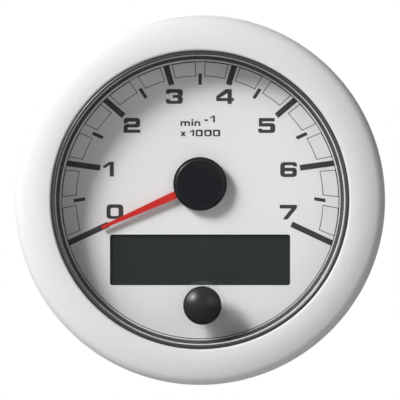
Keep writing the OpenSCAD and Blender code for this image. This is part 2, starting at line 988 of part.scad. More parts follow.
module rotor_magnet() {
    color([0.3, 0.3, 0.32])
        at_pointer()
            translate(rotor_at) {
                bar(magnet_d / 2, coil_z - magnet_h / 2, coil_z + magnet_h / 2);
                bar(pivot_d / 2, motor_back + blind + 0.1, board_back - blind - 0.1);
            }
}

module rotor_pinion() {
    color([0.93, 0.93, 0.9])
        at_pointer()
            translate(rotor_at)
                difference() {
                    gear(pinion_teeth, rear_wheel_z - 0.1, pinion_w - 0.1,
                        rotor_dir + 180 + 180 / pinion_teeth);
                    bar(pivot_d / 2, rear_wheel_z - eps, rear_wheel_z + pinion_w + eps);
                }
}

// Domed button: the cap stands through the lens, its stem reaches the switch
module button_cap() {
    edge = 0.7;
    dome_low = button_top - dome_r + sqrt(pow(dome_r, 2) - pow(button_r, 2));
    lean = asin(button_r / dome_r);
    color([0.13, 0.13, 0.14])
        at_button()
            difference() {
                union() {
                    rotate_extrude()
                        polygon(concat(
                            [[0, button_low], [button_r, button_low],
                             [button_r, dome_low - edge]],
                            [[button_r - 0.06, dome_low - 0.25]],
                            arc([0, button_top - dome_r], dome_r, 90 - lean + 3, 90, 9)
                        ));
                    bar(stem_r, plunger_top, button_low + eps);
                    bar(stem_flange_r, dial_back - stop_gap - 0.8, dial_back - stop_gap);
                }
                tube(button_r - 0.8, stem_r + 0.1, button_low - eps, dome_low - 0.8);
            }
}

module switch_plunger() {
    color([0.8, 0.75, 0.6])
        at_button()
            bar(plunger_r, plunger_top - 2.3, plunger_top);
}

module button_guide() {
    color([0.2, 0.2, 0.2])
        at_button()
            tube(guide_r + guide_wall, guide_r, carrier_back, dial_back);
}

module button_seal() {
    color([0.85, 0.87, 0.88, 0.5])
        at_button()
            tube(button_r + 1.6, button_r + 0.08, lens_seat - 0.8, lens_seat);
}

module tact_switch() {
    body_w = 5.2;
    color([0.15, 0.15, 0.15])
        at_button()
            difference() {
                block([0, 0], [body_w, body_w], carrier_back, carrier_back + switch_h);
                bar(plunger_r + 0.08, plunger_top - 2.3 - button_travel - 0.15,
                    carrier_back + switch_h + eps);
            }
}

// Board-to-board link: a socket on the main board and a pin header on the rear board
module link_grid() {
    for (i = [0:link_columns - 1], x = [-0.5, 0.5])
        translate([
            link_at[0] + x * link_pitch,
            link_at[1] + (i - (link_columns - 1) / 2) * link_pitch,
            0
        ])
            children();
}

link_socket_low = board_back - link_reach;

module link_socket() {
    color([0.1, 0.1, 0.1])
        placed()
            difference() {
                block(link_at, [link_w, link_len], link_socket_low, board_back);
                link_grid()
                    block([0, 0], [0.84, 0.84], link_socket_low - eps, board_back - 1);
            }
}

module link_header() {
    color([0.12, 0.12, 0.12])
        placed() {
            block(link_at, [link_w, link_len], rear_front, rear_front + link_base_h);
            link_grid()
                block([0, 0], [pin_w, pin_w], rear_front, link_socket_low + link_dip);
        }
}

module connector_board() {
    color([0.05, 0.3, 0.18])
        placed()
            difference() {
                block([0, 1], rear_board, rear_back, rear_front);
                for (p = boss_at)
                    translate(p)
                        bar(1.4, rear_back - eps, rear_front + eps);
                plug_grid()
                    block([0, 0], [0.9, 0.9], rear_back - eps, rear_front + eps);
                bus_grid()
                    bar(0.6, rear_back - eps, rear_front + eps);
            }
}

module connector_screws() {
    color([0.6, 0.6, 0.62])
        placed()
            for (p = boss_at)
                translate(p)
                    small_screw(rear_front, rear_back - boss_h + 1, 1.1);
}

can_r = 3.1;
can_h = 5;
can_at = fit * [[19, -12], [19, -3], [19, 6]];

module capacitors() {
    color([0.2, 0.2, 0.25])
        placed()
            for (p = can_at)
                translate(p)
                    bar(can_r, rear_front, rear_front + can_h);
}

transceiver_at = fit * [-6, 4];
transceiver_size = [8, 6];
transceiver_t = 1.6;

module transceiver_chip() {
    color([0.1, 0.1, 0.1])
        placed()
            block(transceiver_at, transceiver_size, rear_front, rear_front + transceiver_t);
}

// Housing: threaded cup with a flange and a seat for the lens
module housing() {
    chamfer = 1;
    seat_r = ring_out_r + side_gap / 2;
    color([0.13, 0.13, 0.14])
        placed()
            difference() {
                union() {
                    rotate_extrude()
                        polygon([
                            [0, -barrel_len], [bolt_r - chamfer, -barrel_len],
                            [bolt_r, -barrel_len + chamfer], [bolt_r, -shoulder_len],
                            [shoulder_r, -shoulder_len], [shoulder_r, 0],
                            [neck_r, 0], [neck_r, flange_z],
                            [flange_r, flange_z], [flange_r, flange_top],
                            [lens_r, flange_top], [lens_r, lens_seat],
                            [seat_r, lens_seat], [seat_r, 0],
                            [bore_r, 0], [bore_r, back_in], [0, back_in]
                        ]);
                    for (i = [0:rib_count - 1])
                        rotate([0, 0, i * 360 / rib_count])
                            board_rib();
                    for (p = boss_at)
                        translate(p)
                            bar(3, back_in - eps, rear_back);
                    back_pads();
                }
                for (p = boss_at)
                    translate(p)
                        bar(1.15, back_in + 0.6, rear_back + eps);
                block(plug_pos, [plug_in_w + 2 * plug_wall, plug_rows_h + 2 * plug_wall]
                    + [0.3, 0.3], -barrel_len - 2, back_in + eps);
                translate(bus_pos)
                    bar(bus_neck_r + 0.1, -barrel_len - 2, back_in + eps);
                translate(vent_at)
                    bar(vent_r / 2 + 0.1, -barrel_len - 2, back_in + eps);
            }
}

// A rib that carries the main board's edge
module board_rib() {
    intersection() {
        block([bore_r - 1, 0], [5, 3], back_in - eps, board_back);
        bar(bore_r + 0.2, back_in - eps, board_back);
    }
}

// Raised pads moulded round the connectors on the back wall
module back_pads() {
    pad = 0.6;
    rib_mid = bolt_r - 8.5;
    translate([0, 0, -barrel_len - pad])
        linear_extrude(pad + eps)
            difference() {
                circle(r = bolt_r - 3);
                circle(r = bolt_r - 5);
            }
    translate(bus_pos)
        bar(bus_r + 4, -barrel_len, back_in);
    for (i = [0:11])
        rotate([0, 0, i * 30 + 15])
            block([rib_mid, 0], [8, 1.2], -barrel_len - pad, back_in);
}

module plug_grid() {
    for (i = [0:plug_columns - 1], y = [-0.5, 0.5])
        translate([
            plug_pos[0] + (i - (plug_columns - 1) / 2) * pitch,
            plug_pos[1] + y * pitch,
            0
        ])
            children();
}

// Rectangular plug socket that stands through the back wall, with a keyed mouth
module plug_socket() {
    inside = [plug_in_w, plug_rows_h];
    outside = inside + 2 * [plug_wall, plug_wall];
    floor_z = -barrel_len + 0.5;
    color([0.1, 0.1, 0.1])
        placed()
            difference() {
                union() {
                    round_plate(plug_pos, outside, 1, plug_end, back_in);
                    round_plate(plug_pos, outside + [3, 3], 1, back_in, back_in + 1.2);
                    block(plug_pos, inside, back_in, rear_back);
                }
                block(plug_pos, inside, plug_end - eps, floor_z);
                block(plug_pos + [0, plug_rows_h / 2 + plug_wall / 2], [4, plug_wall + 0.1],
                    plug_end - eps, plug_end + 5);
                plug_grid()
                    block([0, 0], [pin_w + 0.1, pin_w + 0.1], floor_z - eps, rear_back + eps);
            }
}

module plug_pins() {
    color([0.85, 0.7, 0.35])
        placed()
            plug_grid()
                block([0, 0], [pin_w, pin_w], plug_end + pin_recess, rear_front + 0.8);
}

module bus_grid() {
    translate(bus_pos) {
        children();
        for (i = [0:3])
            rotate([0, 0, 45 + i * 90])
                translate([2.5, 0])
                    children();
    }
}

// Round threaded bus socket: collar inside the wall, nut and sealing ring outside
module bus_socket() {
    color([0.75, 0.72, 0.66])
        placed()
            translate(bus_pos)
                difference() {
                    union() {
                        bar(bus_r + 2.2, back_in, back_in + 1.5);
                        bar(bus_neck_r, bus_thread_z, back_in + 1.5);
                        bar(bus_r, bus_end, bus_thread_z);
                    }
                    bar(bus_bore_r, bus_end - eps, back_in + 2);
                    translate([0, bus_bore_r, 0])
                        block([0, 0], [1.2, 1.2], bus_end - eps, bus_end + 6);
                }
}

module bus_insert() {
    color([0.1, 0.1, 0.1])
        placed()
            difference() {
                translate(bus_pos)
                    bar(bus_bore_r - 0.05, -barrel_len - 4, rear_back);
                bus_grid()
                    bar(0.55, -barrel_len - 4 - eps, rear_back + eps);
            }
}

module bus_pins() {
    color([0.85, 0.7, 0.35])
        placed()
            bus_grid()
                bar(0.5, bus_end + 2, rear_front + 0.8);
}

module bus_nut() {
    from = -barrel_len - bus_seal_t - bus_nut_h;
    color([0.75, 0.72, 0.66])
        placed()
            translate(bus_pos)
                difference() {
                    translate([0, 0, from])
                        cylinder(r = bus_r + 2.6, h = bus_nut_h, $fn = 6);
                    bar(bus_neck_r + 0.05, from - eps, from + bus_nut_h + eps);
                }
}

module bus_seal() {
    color([0.08, 0.08, 0.08])
        placed()
            translate(bus_pos)
                tube(bus_r + 1.9, bus_neck_r + 0.05, -barrel_len - bus_seal_t, -barrel_len);
}

// Vent with a domed cap on the back wall
module vent_plug() {
    color([0.2, 0.2, 0.2])
        placed()
            translate(vent_at) {
                bar(vent_r / 2, -barrel_len - 1, back_in - 0.2);
                rotate_extrude()
                    polygon([
                        [0, -barrel_len], [vent_r, -barrel_len],
                        [vent_r, -barrel_len - 1.2],
                        [vent_r - 0.8, -barrel_len - 2], [0, -barrel_len - 2.2]
                    ]);
            }
}

module nut_washer() {
    color([0.75, 0.75, 0.72])
        placed()
            tube(washer_r, nut_bore, -nut_rest - washer_t, -nut_rest);
}

// Ring nut with finger lugs and a wide front flange
module spinlock_nut() {
    front = -nut_rest - washer_t - washer_play;
    flange_h = 2;
    color([0.12, 0.12, 0.13])
        placed()
            difference() {
                union() {
                    bar(nut_r, front - nut_h, front);
                    bar(washer_r, front - flange_h, front);
                    for (i = [0:lug_count - 1])
                        rotate([0, 0, i * 360 / lug_count])
                            nut_lug(front - nut_h, front);
                }
                bar(nut_bore, front - nut_h - eps, front + eps);
            }
}

// One finger lug: a block with rounded corners and a hollow in its middle
module nut_lug(from, to) {
    reach = nut_r + lug_h;
    root = nut_r - 3;
    tip = reach + 0.5;
    hollow_r = 2.6;
    hollow_at = reach + 1.2;
    translate([0, 0, from])
        linear_extrude(to - from)
            difference() {
                intersection() {
                    translate([(root + tip) / 2, 0])
                        round_rect([tip - root, lug_w], 1.5);
                    circle(r = reach);
                }
                translate([hollow_at, 0])
                    circle(r = hollow_r);
            }
}

front_bezel();
panel_gasket();
lens_gasket();
lens();
trim_ring();
dial_surround();
dial();
light_guide();
lcd_glass();
lcd_frame();
lcd_contacts();
lcd_backlight();
face_carrier();
main_board();
board_leds();
controller_chip();
carrier_screws();
motor_base();
motor_cover();
motor_stator();
motor_coils();
motor_pins();
idler_pin();
output_gear();
pointer_shaft();
pointer_arm();
pointer_cap();
idler_gear();
rotor_magnet();
rotor_pinion();
button_cap();
switch_plunger();
button_guide();
button_seal();
tact_switch();
link_socket();
link_header();
connector_board();
connector_screws();
capacitors();
transceiver_chip();
housing();
plug_socket();
plug_pins();
bus_socket();
bus_insert();
bus_pins();
bus_nut();
bus_seal();
vent_plug();
nut_washer();
spinlock_nut();
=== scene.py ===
"""Looks of a boat tachometer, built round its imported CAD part.

Sizes are in millimetres as seen from the front: x right, y up, z towards the viewer.
place() turns such a point into the row's frame, in metres.
"""

import json
import logging
import math
from collections.abc import Callable, Sequence
from dataclasses import dataclass
from enum import Enum

import bpy
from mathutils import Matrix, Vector


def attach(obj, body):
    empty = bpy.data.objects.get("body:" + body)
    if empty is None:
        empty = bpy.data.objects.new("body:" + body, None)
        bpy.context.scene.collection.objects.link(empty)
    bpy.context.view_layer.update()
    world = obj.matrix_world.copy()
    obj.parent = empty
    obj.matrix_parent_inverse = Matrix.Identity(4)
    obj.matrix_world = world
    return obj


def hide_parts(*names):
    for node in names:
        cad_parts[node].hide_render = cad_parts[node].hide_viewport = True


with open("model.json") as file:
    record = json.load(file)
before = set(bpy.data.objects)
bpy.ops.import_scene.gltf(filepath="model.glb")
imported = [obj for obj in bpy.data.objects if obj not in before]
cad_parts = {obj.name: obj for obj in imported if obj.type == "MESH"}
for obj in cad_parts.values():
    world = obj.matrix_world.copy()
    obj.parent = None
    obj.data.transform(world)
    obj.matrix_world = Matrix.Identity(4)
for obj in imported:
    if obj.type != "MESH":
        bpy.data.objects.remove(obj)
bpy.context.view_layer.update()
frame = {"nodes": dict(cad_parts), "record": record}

MM = 0.001
# Corners closer than this are one corner
WELD = 0.002 * MM
# Side of the square that is merged into the first corner of a new mesh
SEED = 2 * MM
# Faces that meet at less than this are shaded as one surface
SMOOTH = math.radians(30)
log = logging.getLogger("tachometer")

# x and y in the front view, or radius and height in a section
Point = tuple[float, float]
# A direction in the row's frame
Way = tuple[float, float, float]
# Left, right, low and high side
Box = tuple[float, float, float, float]
# x, y and, where the corner is round, its radius
Corner = tuple[float, ...]
# An outline, then its holes
Shape = tuple[tuple[Corner, ...], ...]
Tree = bpy.types.NodeTree
Socket = bpy.types.NodeSocket


class Axis(Enum):
    """Direction of a pattern's lines, in the row's frame."""

    ACROSS = (1.0, 0.0, 0.0)
    DEEP = (0.0, 1.0, 0.0)
    UP = (0.0, 0.0, 1.0)


class Body(Enum):
    """The CAD bodies that the scene's own pieces ride on."""

    FIXED = "root"
    POINTER = "pointer"
    BUTTON = "button"
    NUT = "nut"


class Join(Enum):
    """How a tool changes the piece that it is laid into."""

    ADD = "UNION"
    CUT = "DIFFERENCE"


def linear(code: str) -> tuple[float, float, float, float]:
    """Turn an sRGB hex colour into linear light.

    Args:
        code: the colour as "#rrggbb"

    Returns:
        Red, green, blue and an alpha of 1.
    """
    parts = [int(code[i:i + 2], 16) / 255 for i in (1, 3, 5)]
    light = [p / 12.92 if p <= 0.04045 else ((p + 0.055) / 1.055) ** 2.4 for p in parts]
    return light[0], light[1], light[2], 1.0


def add_node(
    tree: Tree,
    kind: str,
    settings: dict[str | int, object] | None = None,
    links: dict[str | int, Socket] | None = None,
) -> bpy.types.Node:
    """Add a node with its settings and links.

    Args:
        tree: the tree that gets the node
        kind: the node's type
        settings: values by attribute (lower case) or by socket (title or number)
        links: the socket that feeds each of the node's inputs

    Returns:
        The new node.
    """
    node = tree.nodes.new(kind)
    for key, value in (settings or {}).items():
        if isinstance(key, str) and key[0].islower():
            setattr(node, key, value)
        else:
            node.inputs[key].default_value = value
    for key, source in (links or {}).items():
        tree.links.new(source, node.inputs[key])
    return node


def place(x: float, y: float, z: float) -> Vector:
    """Turn a front-view point in millimetres into the row's frame."""
    return Vector((x, -z, y)) * MM


def on_circle(centre: Point, radius: float, angle: float) -> Point:
    """Give the point of a circle at an angle in degrees."""
    t = math.radians(angle)
    return centre[0] + radius * math.cos(t), centre[1] + radius * math.sin(t)


def arc(centre: Point, radius: float, start: float, stop: float, steps: int) -> list[Point]:
    """Give points along an arc.

    Args:
        centre: the arc's centre
        radius: its radius
        start: first angle in degrees
        stop: last angle in degrees
        steps: number of chords

    Returns:
        The points, both ends included.
    """
    angles = [start + (stop - start) * i / steps for i in range(steps + 1)]
    return [on_circle(centre, radius, angle) for angle in angles]


# Finishes: what each surface is made of, and what that gives the eye


# A Mix node's inputs for two colours, and its output for their blend
COLOUR_A, COLOUR_B, BLEND = 6, 7, 2


@dataclass(frozen=True)
class Finish:
    """A surface whose pattern carries the colour towards a second one and lifts its relief."""

    name: str
    colour: str
    other: str
    roughness: float
    spread: float = 0.0
    depth_mm: float = 0.0
    specular: float = 0.5
    metallic: float = 0.0
    alpha: float = 1.0

    def patterns(self, tree: Tree, where: Socket) -> tuple[Socket, Socket]:
        """Make the patterns of tone and relief.

        Args:
            tree: the material's tree
            where: object coordinates, in metres

        Returns:
            The tone's and the relief's sockets, each from 0 to 1.
        """
        raise NotImplementedError

    def material(self) -> bpy.types.Material:
        """Make the material, or find it where it is made already.

        Returns:
            The material.
        """
        made = bpy.data.materials.get(self.name)
        if made:
            return made
        made = bpy.data.materials.new(self.name)
        made.use_nodes = True
        tree = made.node_tree
        tree.nodes.clear()
        where = add_node(tree, "ShaderNodeTexCoord").outputs["Object"]
        tone, height = self.patterns(tree, where)
        colour = add_node(
            tree, "ShaderNodeMix",
            {"data_type": "RGBA", COLOUR_A: linear(self.colour), COLOUR_B: linear(self.other)},
            {0: tone},
        )
        rough = add_node(
            tree, "ShaderNodeMapRange",
            {"To Min": self.roughness - self.spread, "To Max": self.roughness + self.spread},
            {"Value": tone},
        )
        bump = add_node(
            tree, "ShaderNodeBump", {"Strength": 1.0, "Distance": self.depth_mm * MM},
            {"Height": height},
        )
        shader = add_node(
            tree, "ShaderNodeBsdfPrincipled",
            {"Specular IOR Level": self.specular, "Metallic": self.metallic,
             "Alpha": self.alpha},
            {"Base Color": colour.outputs[BLEND], "Roughness": rough.outputs[0],
             "Normal": bump.outputs[0]},
        )
        add_node(
            tree, "ShaderNodeOutputMaterial", links={"Surface": shader.outputs["BSDF"]}
        )
        return made


@dataclass(frozen=True)
class Grained(Finish):
    """Moulded, cast or printed surface: fine even grain under soft clouds of tone."""

    grain_mm: float = 0.4
    cloud_mm: float = 12.0

    def patterns(self, tree: Tree, where: Socket) -> tuple[Socket, Socket]:
        """Give clouds as the tone and fine grain as the relief.

        Args:
            tree: the material's tree
            where: object coordinates, in metres

        Returns:
            The tone's and the relief's sockets.
        """
        cloud = add_node(
            tree, "ShaderNodeTexNoise", {"Scale": 1 / (self.cloud_mm * MM), "Detail": 4.0},
            {"Vector": where},
        )
        grain = add_node(
            tree, "ShaderNodeTexNoise", {"Scale": 1 / (self.grain_mm * MM), "Detail": 2.0},
            {"Vector": where},
        )
        return cloud.outputs[0], grain.outputs[0]


@dataclass(frozen=True)
class Brushed(Finish):
    """Rolled, drawn or ground metal: fine lines along one direction."""

    line_mm: float = 0.15
    along: Axis = Axis.ACROSS
    times_as_long: float = 30.0

    def patterns(self, tree: Tree, where: Socket) -> tuple[Socket, Socket]:
        """Give noise drawn out along the lines as both tone and relief.

        Args:
            tree: the material's tree
            where: object coordinates, in metres

        Returns:
            The tone's and the relief's sockets.
        """
        fine = 1 / (self.line_mm * MM)
        long = 1 / (self.times_as_long * self.line_mm * MM)
        scale = [long if part else fine for part in self.along.value]
        drawn = add_node(tree, "ShaderNodeMapping", {"Scale": scale}, {"Vector": where})
        lines = add_node(
            tree, "ShaderNodeTexNoise", {"Scale": 1.0, "Detail": 3.0},
            {"Vector": drawn.outputs[0]},
        )
        return lines.outputs[0], lines.outputs[0]


@dataclass(frozen=True)
class Turned(Finish):
    """Metal turned on a lathe: fine rings round the gauge's axis."""

    line_mm: float = 0.12

    def patterns(self, tree: Tree, where: Socket) -> tuple[Socket, Socket]:
        """Give rings by distance from the axis as both tone and relief.

        Args:
            tree: the material's tree
            where: object coordinates, in metres

        Returns:
            The tone's and the relief's sockets.
        """
        flat = add_node(
            tree, "ShaderNodeVectorMath", {"operation": "MULTIPLY", 1: (1.0, 0.0, 1.0)},
            {0: where},
        )
        radius = add_node(
            tree, "ShaderNodeVectorMath", {"operation": "LENGTH"}, {0: flat.outputs[0]}
        )
        rings = add_node(
            tree, "ShaderNodeTexNoise",
            {"noise_dimensions": "1D", "Scale": 1 / (self.line_mm * MM), "Detail": 2.0},
            {"W": radius.outputs["Value"]},
        )
        return rings.outputs[0], rings.outputs[0]


@dataclass(frozen=True)
class Banded(Finish):
    """Layers or windings: even bands side by side."""

    band_mm: float = 0.3
    across: Axis = Axis.ACROSS

    def patterns(self, tree: Tree, where: Socket) -> tuple[Socket, Socket]:
        """Give a wave across the bands as both tone and relief.

        Args:
            tree: the material's tree
            where: object coordinates, in metres

        Returns:
            The tone's and the relief's sockets.
        """
        names = {Axis.ACROSS: "X", Axis.DEEP: "Y", Axis.UP: "Z"}
        # A wave texture runs through one band in 2 pi / 20 of its scaled length
        wave = add_node(
            tree, "ShaderNodeTexWave",
            {"bands_direction": names[self.across],
             "Scale": math.pi / 10 / (self.band_mm * MM)},
            {"Vector": where},
        )
        return wave.outputs[1], wave.outputs[1]


@dataclass(frozen=True)
class WovenBoard(Finish):
    """Glass-epoxy board under solder mask: a faint square weave and paler tracks."""

    weave_mm: float = 0.6
    track_mm: float = 4.0

    def patterns(self, tree: Tree, where: Socket) -> tuple[Socket, Socket]:
        """Give tracks as the tone and the weave as the relief.

        Args:
            tree: the material's tree
            where: object coordinates, in metres

        Returns:
            The tone's and the relief's sockets.
        """
        face = add_node(
            tree, "ShaderNodeMapping", {"Rotation": (math.radians(90), 0.0, 0.0)},
            {"Vector": where},
        )
        tracks = add_node(
            tree, "ShaderNodeTexBrick",
            {"offset": 0.5, "Scale": 1 / (self.track_mm * MM), "Mortar Size": 0.06,
             "Color1": (0, 0, 0, 1), "Color2": (0, 0, 0, 1), "Mortar": (1, 1, 1, 1)},
            {"Vector": face.outputs[0]},
        )
        weave = add_node(
            tree, "ShaderNodeTexChecker", {"Scale": 1 / (self.weave_mm * MM)},
            {"Vector": face.outputs[0]},
        )
        return tracks.outputs[0], weave.outputs[1]


# Light-fast white ABS with a spark-eroded grain: an even satin with hardly any sparkle
BEZEL_WHITE = Grained(
    "satin white ABS", "#d7d7d6", "#d4d4d2",
    roughness=0.42, spread=0.03, depth_mm=0.08, specular=0.12,
    grain_mm=0.8, cloud_mm=25.0,
)
# EPDM: near black, soft-edged highlight, a trace of bloom on the skin
RUBBER = Grained(
    "moulded EPDM rubber", "#141416", "#1e1e20",
    roughness=0.48, spread=0.06, depth_mm=0.01, specular=0.3,
    grain_mm=0.5, cloud_mm=6.0,
)
# The same rubber on the moulded bead, polished by its tool: a fine bright line
BEAD_BLACK = Grained(
    "polished EPDM bead", "#101012", "#161618",
    roughness=0.3, spread=0.04, depth_mm=0.003, specular=0.9,
    grain_mm=0.6, cloud_mm=6.0,
)
# Hard-coated polycarbonate: all but unseen where flat, a bright line where it bends
CLEAR_LENS = Grained(
    "hard-coated clear polycarbonate", "#464c4e", "#3e4446",
    roughness=0.06, spread=0.02, depth_mm=0.001, specular=0.5, alpha=0.04,
    grain_mm=3.0, cloud_mm=18.0,
)
# Anodised aluminium turned to a satin: pale grey, softly lit all round
TRIM_SATIN = Turned(
    "satin anodised aluminium", "#d8d9da", "#cccdce",
    roughness=0.4, spread=0.05, depth_mm=0.004, specular=0.5,
)
# ABS spark-eroded to a dull black, so that the wall drops back from the dial
SURROUND_BLACK = Grained(
    "dull black ABS", "#3c3c3e", "#424244",
    roughness=0.6, spread=0.05, depth_mm=0.008, specular=0.08,
    grain_mm=0.3, cloud_mm=8.0,
)
# Screen-printed polycarbonate sheet: flat matte white with a fine tooth
DIAL_WHITE = Grained(
    "matte printed polycarbonate", "#eeeeee", "#ebebeb",
    roughness=0.7, spread=0.03, depth_mm=0.004, specular=0.2,
    grain_mm=0.25, cloud_mm=20.0,
)
# Screen ink: dense charcoal, a little glossier than the sheet under it
INK = Grained(
    "charcoal screen ink", "#3a3a3d", "#404043",
    roughness=0.5, spread=0.05, depth_mm=0.004, specular=0.12,
    grain_mm=0.2, cloud_mm=4.0,
)
# Moulded acrylic: clear body with a slight blue cast
LIGHT_GUIDE = Grained(
    "clear moulded acrylic", "#d9e6ee", "#cfdde6",
    roughness=0.12, spread=0.03, depth_mm=0.002, specular=0.5, alpha=0.35,
    grain_mm=2.0, cloud_mm=15.0,
)
# Polariser over glass: grey-green black, its matte film catching a little light
DISPLAY = Grained(
    "polarised display glass", "#262b29", "#2b312f",
    roughness=0.35, spread=0.05, depth_mm=0.002, specular=0.07,
    grain_mm=0.3, cloud_mm=30.0,
)
# Tin-plated sheet, rolled: fine straight lines
TINNED = Brushed(
    "tin-plated sheet steel", "#b4b5b7", "#9b9c9f",
    roughness=0.32, spread=0.06, depth_mm=0.004, metallic=1.0,
)
# Layered silicone strip: thin conducting lines between insulating ones
LAYERED = Banded(
    "layered silicone strip", "#cdbb8d", "#3a3630",
    roughness=0.6, spread=0.05, depth_mm=0.003, specular=0.3,
    band_mm=0.5,
)
# Natural white ABS, plain moulded
INNER_WHITE = Grained(
    "moulded white ABS", "#dddcd6", "#d2d1ca",
    roughness=0.45, spread=0.05, depth_mm=0.01, specular=0.4,
)
# Solder mask over glass epoxy: deep green, glossy, the weave just showing
BOARD = WovenBoard(
    "green solder mask", "#0e4a2c", "#1b6a41",
    roughness=0.3, spread=0.05, depth_mm=0.01, specular=0.5,
)
# Cast silicone over the lamp's phosphor: yellow and waxy
LAMP = Grained(
    "phosphor lamp resin", "#ece3a4", "#e0d488",
    roughness=0.35, spread=0.05, depth_mm=0.005, specular=0.5,
    grain_mm=0.2, cloud_mm=1.5,
)
# Transfer-moulded epoxy: dull black, slightly pitted
CHIP = Grained(
    "moulded epoxy", "#1b1b1d", "#242427",
    roughness=0.6, spread=0.05, depth_mm=0.01, specular=0.3,
    grain_mm=0.15,
)
# Zinc-plated steel: bright, faintly blue, brushed by the tumbling
ZINC = Brushed(
    "zinc-plated steel", "#b9bdc3", "#9ea3aa",
    roughness=0.3, spread=0.08, depth_mm=0.003, metallic=1.0,
    line_mm=0.2,
)
# Punched silicon-steel sheets laid on each other
LAMINATED = Banded(
    "silicon-steel laminations", "#85878b", "#5e6064",
    roughness=0.4, spread=0.05, depth_mm=0.02, metallic=1.0,
    band_mm=0.35, across=Axis.DEEP,
)
# Enamelled copper in close turns; real wire of 0.08 mm is drawn three times as coarse
COPPER = Banded(
    "enamelled copper winding", "#c4713a", "#7c3f1c",
    roughness=0.3, spread=0.05, depth_mm=0.05, metallic=1.0,
    band_mm=0.25, across=Axis.UP,
)
# Natural acetal: ivory, slippery and faintly waxy
ACETAL = Grained(
    "natural acetal", "#e4dec9", "#d9d2bb",
    roughness=0.3, spread=0.04, depth_mm=0.004, specular=0.5,
)
# Centreless-ground steel: bright with fine lines
GROUND = Brushed(
    "ground steel", "#c4c6ca", "#aeb0b5",
    roughness=0.22, spread=0.05, depth_mm=0.002, metallic=1.0,
    line_mm=0.1, along=Axis.DEEP,
)
# Sintered ferrite: dark grey, slightly porous
FERRITE = Grained(
    "sintered ferrite", "#3b3b3f", "#2d2d31",
    roughness=0.6, spread=0.08, depth_mm=0.02, specular=0.4,
    grain_mm=0.12,
)
# Acrylic sheet sprayed signal red: even and strong, with a soft sheen
SIGNAL_RED = Grained(
    "red sprayed acrylic", "#ce231a", "#c72018",
    roughness=0.4, spread=0.04, depth_mm=0.003, specular=0.3,
    grain_mm=0.3, cloud_mm=5.0,
)
# Spark-eroded ABS: the darkest part of the face, hardly any shine
CAP_BLACK = Grained(
    "satin black ABS", "#0d0d11", "#111115",
    roughness=0.4, spread=0.04, depth_mm=0.004, specular=0.08,
    grain_mm=0.3, cloud_mm=6.0,
)
# The same ABS on the rounding round its top, burnished: a fine bright line towards the light
CAP_EDGE = Grained(
    "burnished black ABS", "#0d0d11", "#111115",
    roughness=0.28, spread=0.03, depth_mm=0.002, specular=0.4,
    grain_mm=0.3, cloud_mm=6.0,
)
# Silicone skin over plastic: smooth, broad soft highlight
BUTTON_SKIN = Grained(
    "smooth black silicone", "#161618", "#1b1b1e",
    roughness=0.3, spread=0.03, depth_mm=0.004, specular=0.28,
    grain_mm=0.5, cloud_mm=5.0,
)
# Printed sleeve over an aluminium can
SLEEVE = Brushed(
    "sleeved aluminium can", "#3a3d4a", "#2f323e",
    roughness=0.35, spread=0.05, depth_mm=0.002,
    along=Axis.DEEP,
)
# Glass-filled nylon: charcoal black with the grain of a spark-eroded mould
HOUSING_BLACK = Grained(
    "glass-filled black nylon", "#1d1d20", "#252528",
    roughness=0.5, spread=0.06, depth_mm=0.02, specular=0.4,
    grain_mm=0.45, cloud_mm=10.0,
)
# The nut's nylon has more glass in it: a greyer black with a coarser grain
NUT_BLACK = Grained(
    "glass-filled nylon for the nut", "#232326", "#2c2c30",
    roughness=0.55, spread=0.06, depth_mm=0.025, specular=0.4,
    grain_mm=0.55, cloud_mm=8.0,
)
# Translucent silicone: milky and soft, unseen against the white dial
CLEAR_SILICONE = Grained(
    "translucent silicone", "#d9dcdd", "#cfd3d4",
    roughness=0.35, spread=0.05, depth_mm=0.004, specular=0.2, alpha=0.04,
    grain_mm=0.6, cloud_mm=3.0,
)
# PBT: a little smoother and blacker than the housing
PLUG_BLACK = Grained(
    "moulded black PBT", "#151517", "#1b1b1e",
    roughness=0.4, spread=0.05, depth_mm=0.008, specular=0.4,
    grain_mm=0.3,
)
# Gold flash over nickel
GOLD = Brushed(
    "gold-flashed contact", "#e3bf6b", "#cfa953",
    roughness=0.22, spread=0.05, depth_mm=0.002, metallic=1.0,
    along=Axis.DEEP,
)
# Nickel-plated brass, turned: warm grey, bright
NICKEL = Brushed(
    "nickel-plated brass", "#c3bfb6", "#aca89f",
    roughness=0.25, spread=0.06, depth_mm=0.003, metallic=1.0,
    along=Axis.ACROSS,
)
# Acetal slip washer: plain light grey, smooth
WASHER_GREY = Grained(
    "grey acetal", "#b6b6b1", "#aeaea9",
    roughness=0.38, spread=0.05, depth_mm=0.006, specular=0.4,
)

FINISHES: dict[str, Finish] = {
    "bezel_white": BEZEL_WHITE, "black_rubber": RUBBER, "clear_lens": CLEAR_LENS,
    "bright_ring": TRIM_SATIN, "black_surround": SURROUND_BLACK, "dial_face": DIAL_WHITE,
    "clear_guide": LIGHT_GUIDE, "display_glass": DISPLAY, "sheet_steel": TINNED,
    "contact_rubber": LAYERED, "white_plastic": INNER_WHITE, "board_green": BOARD,
    "lamp_resin": LAMP, "chip_black": CHIP, "screw_steel": ZINC,
    "silicon_steel": LAMINATED, "copper_wire": COPPER, "gear_plastic": ACETAL,
    "ground_steel": GROUND, "magnet": FERRITE, "pointer_red": SIGNAL_RED,
    "cap_black": CAP_BLACK, "button_black": BUTTON_SKIN, "capacitor": SLEEVE,
    "housing_black": HOUSING_BLACK, "plug_black": PLUG_BLACK, "gold_contact": GOLD,
    "nickel": NICKEL, "washer_grey": WASHER_GREY, "nut_black": NUT_BLACK,
    "clear_silicone": CLEAR_SILICONE,
}


# How pieces are drawn, spun, filled and finished


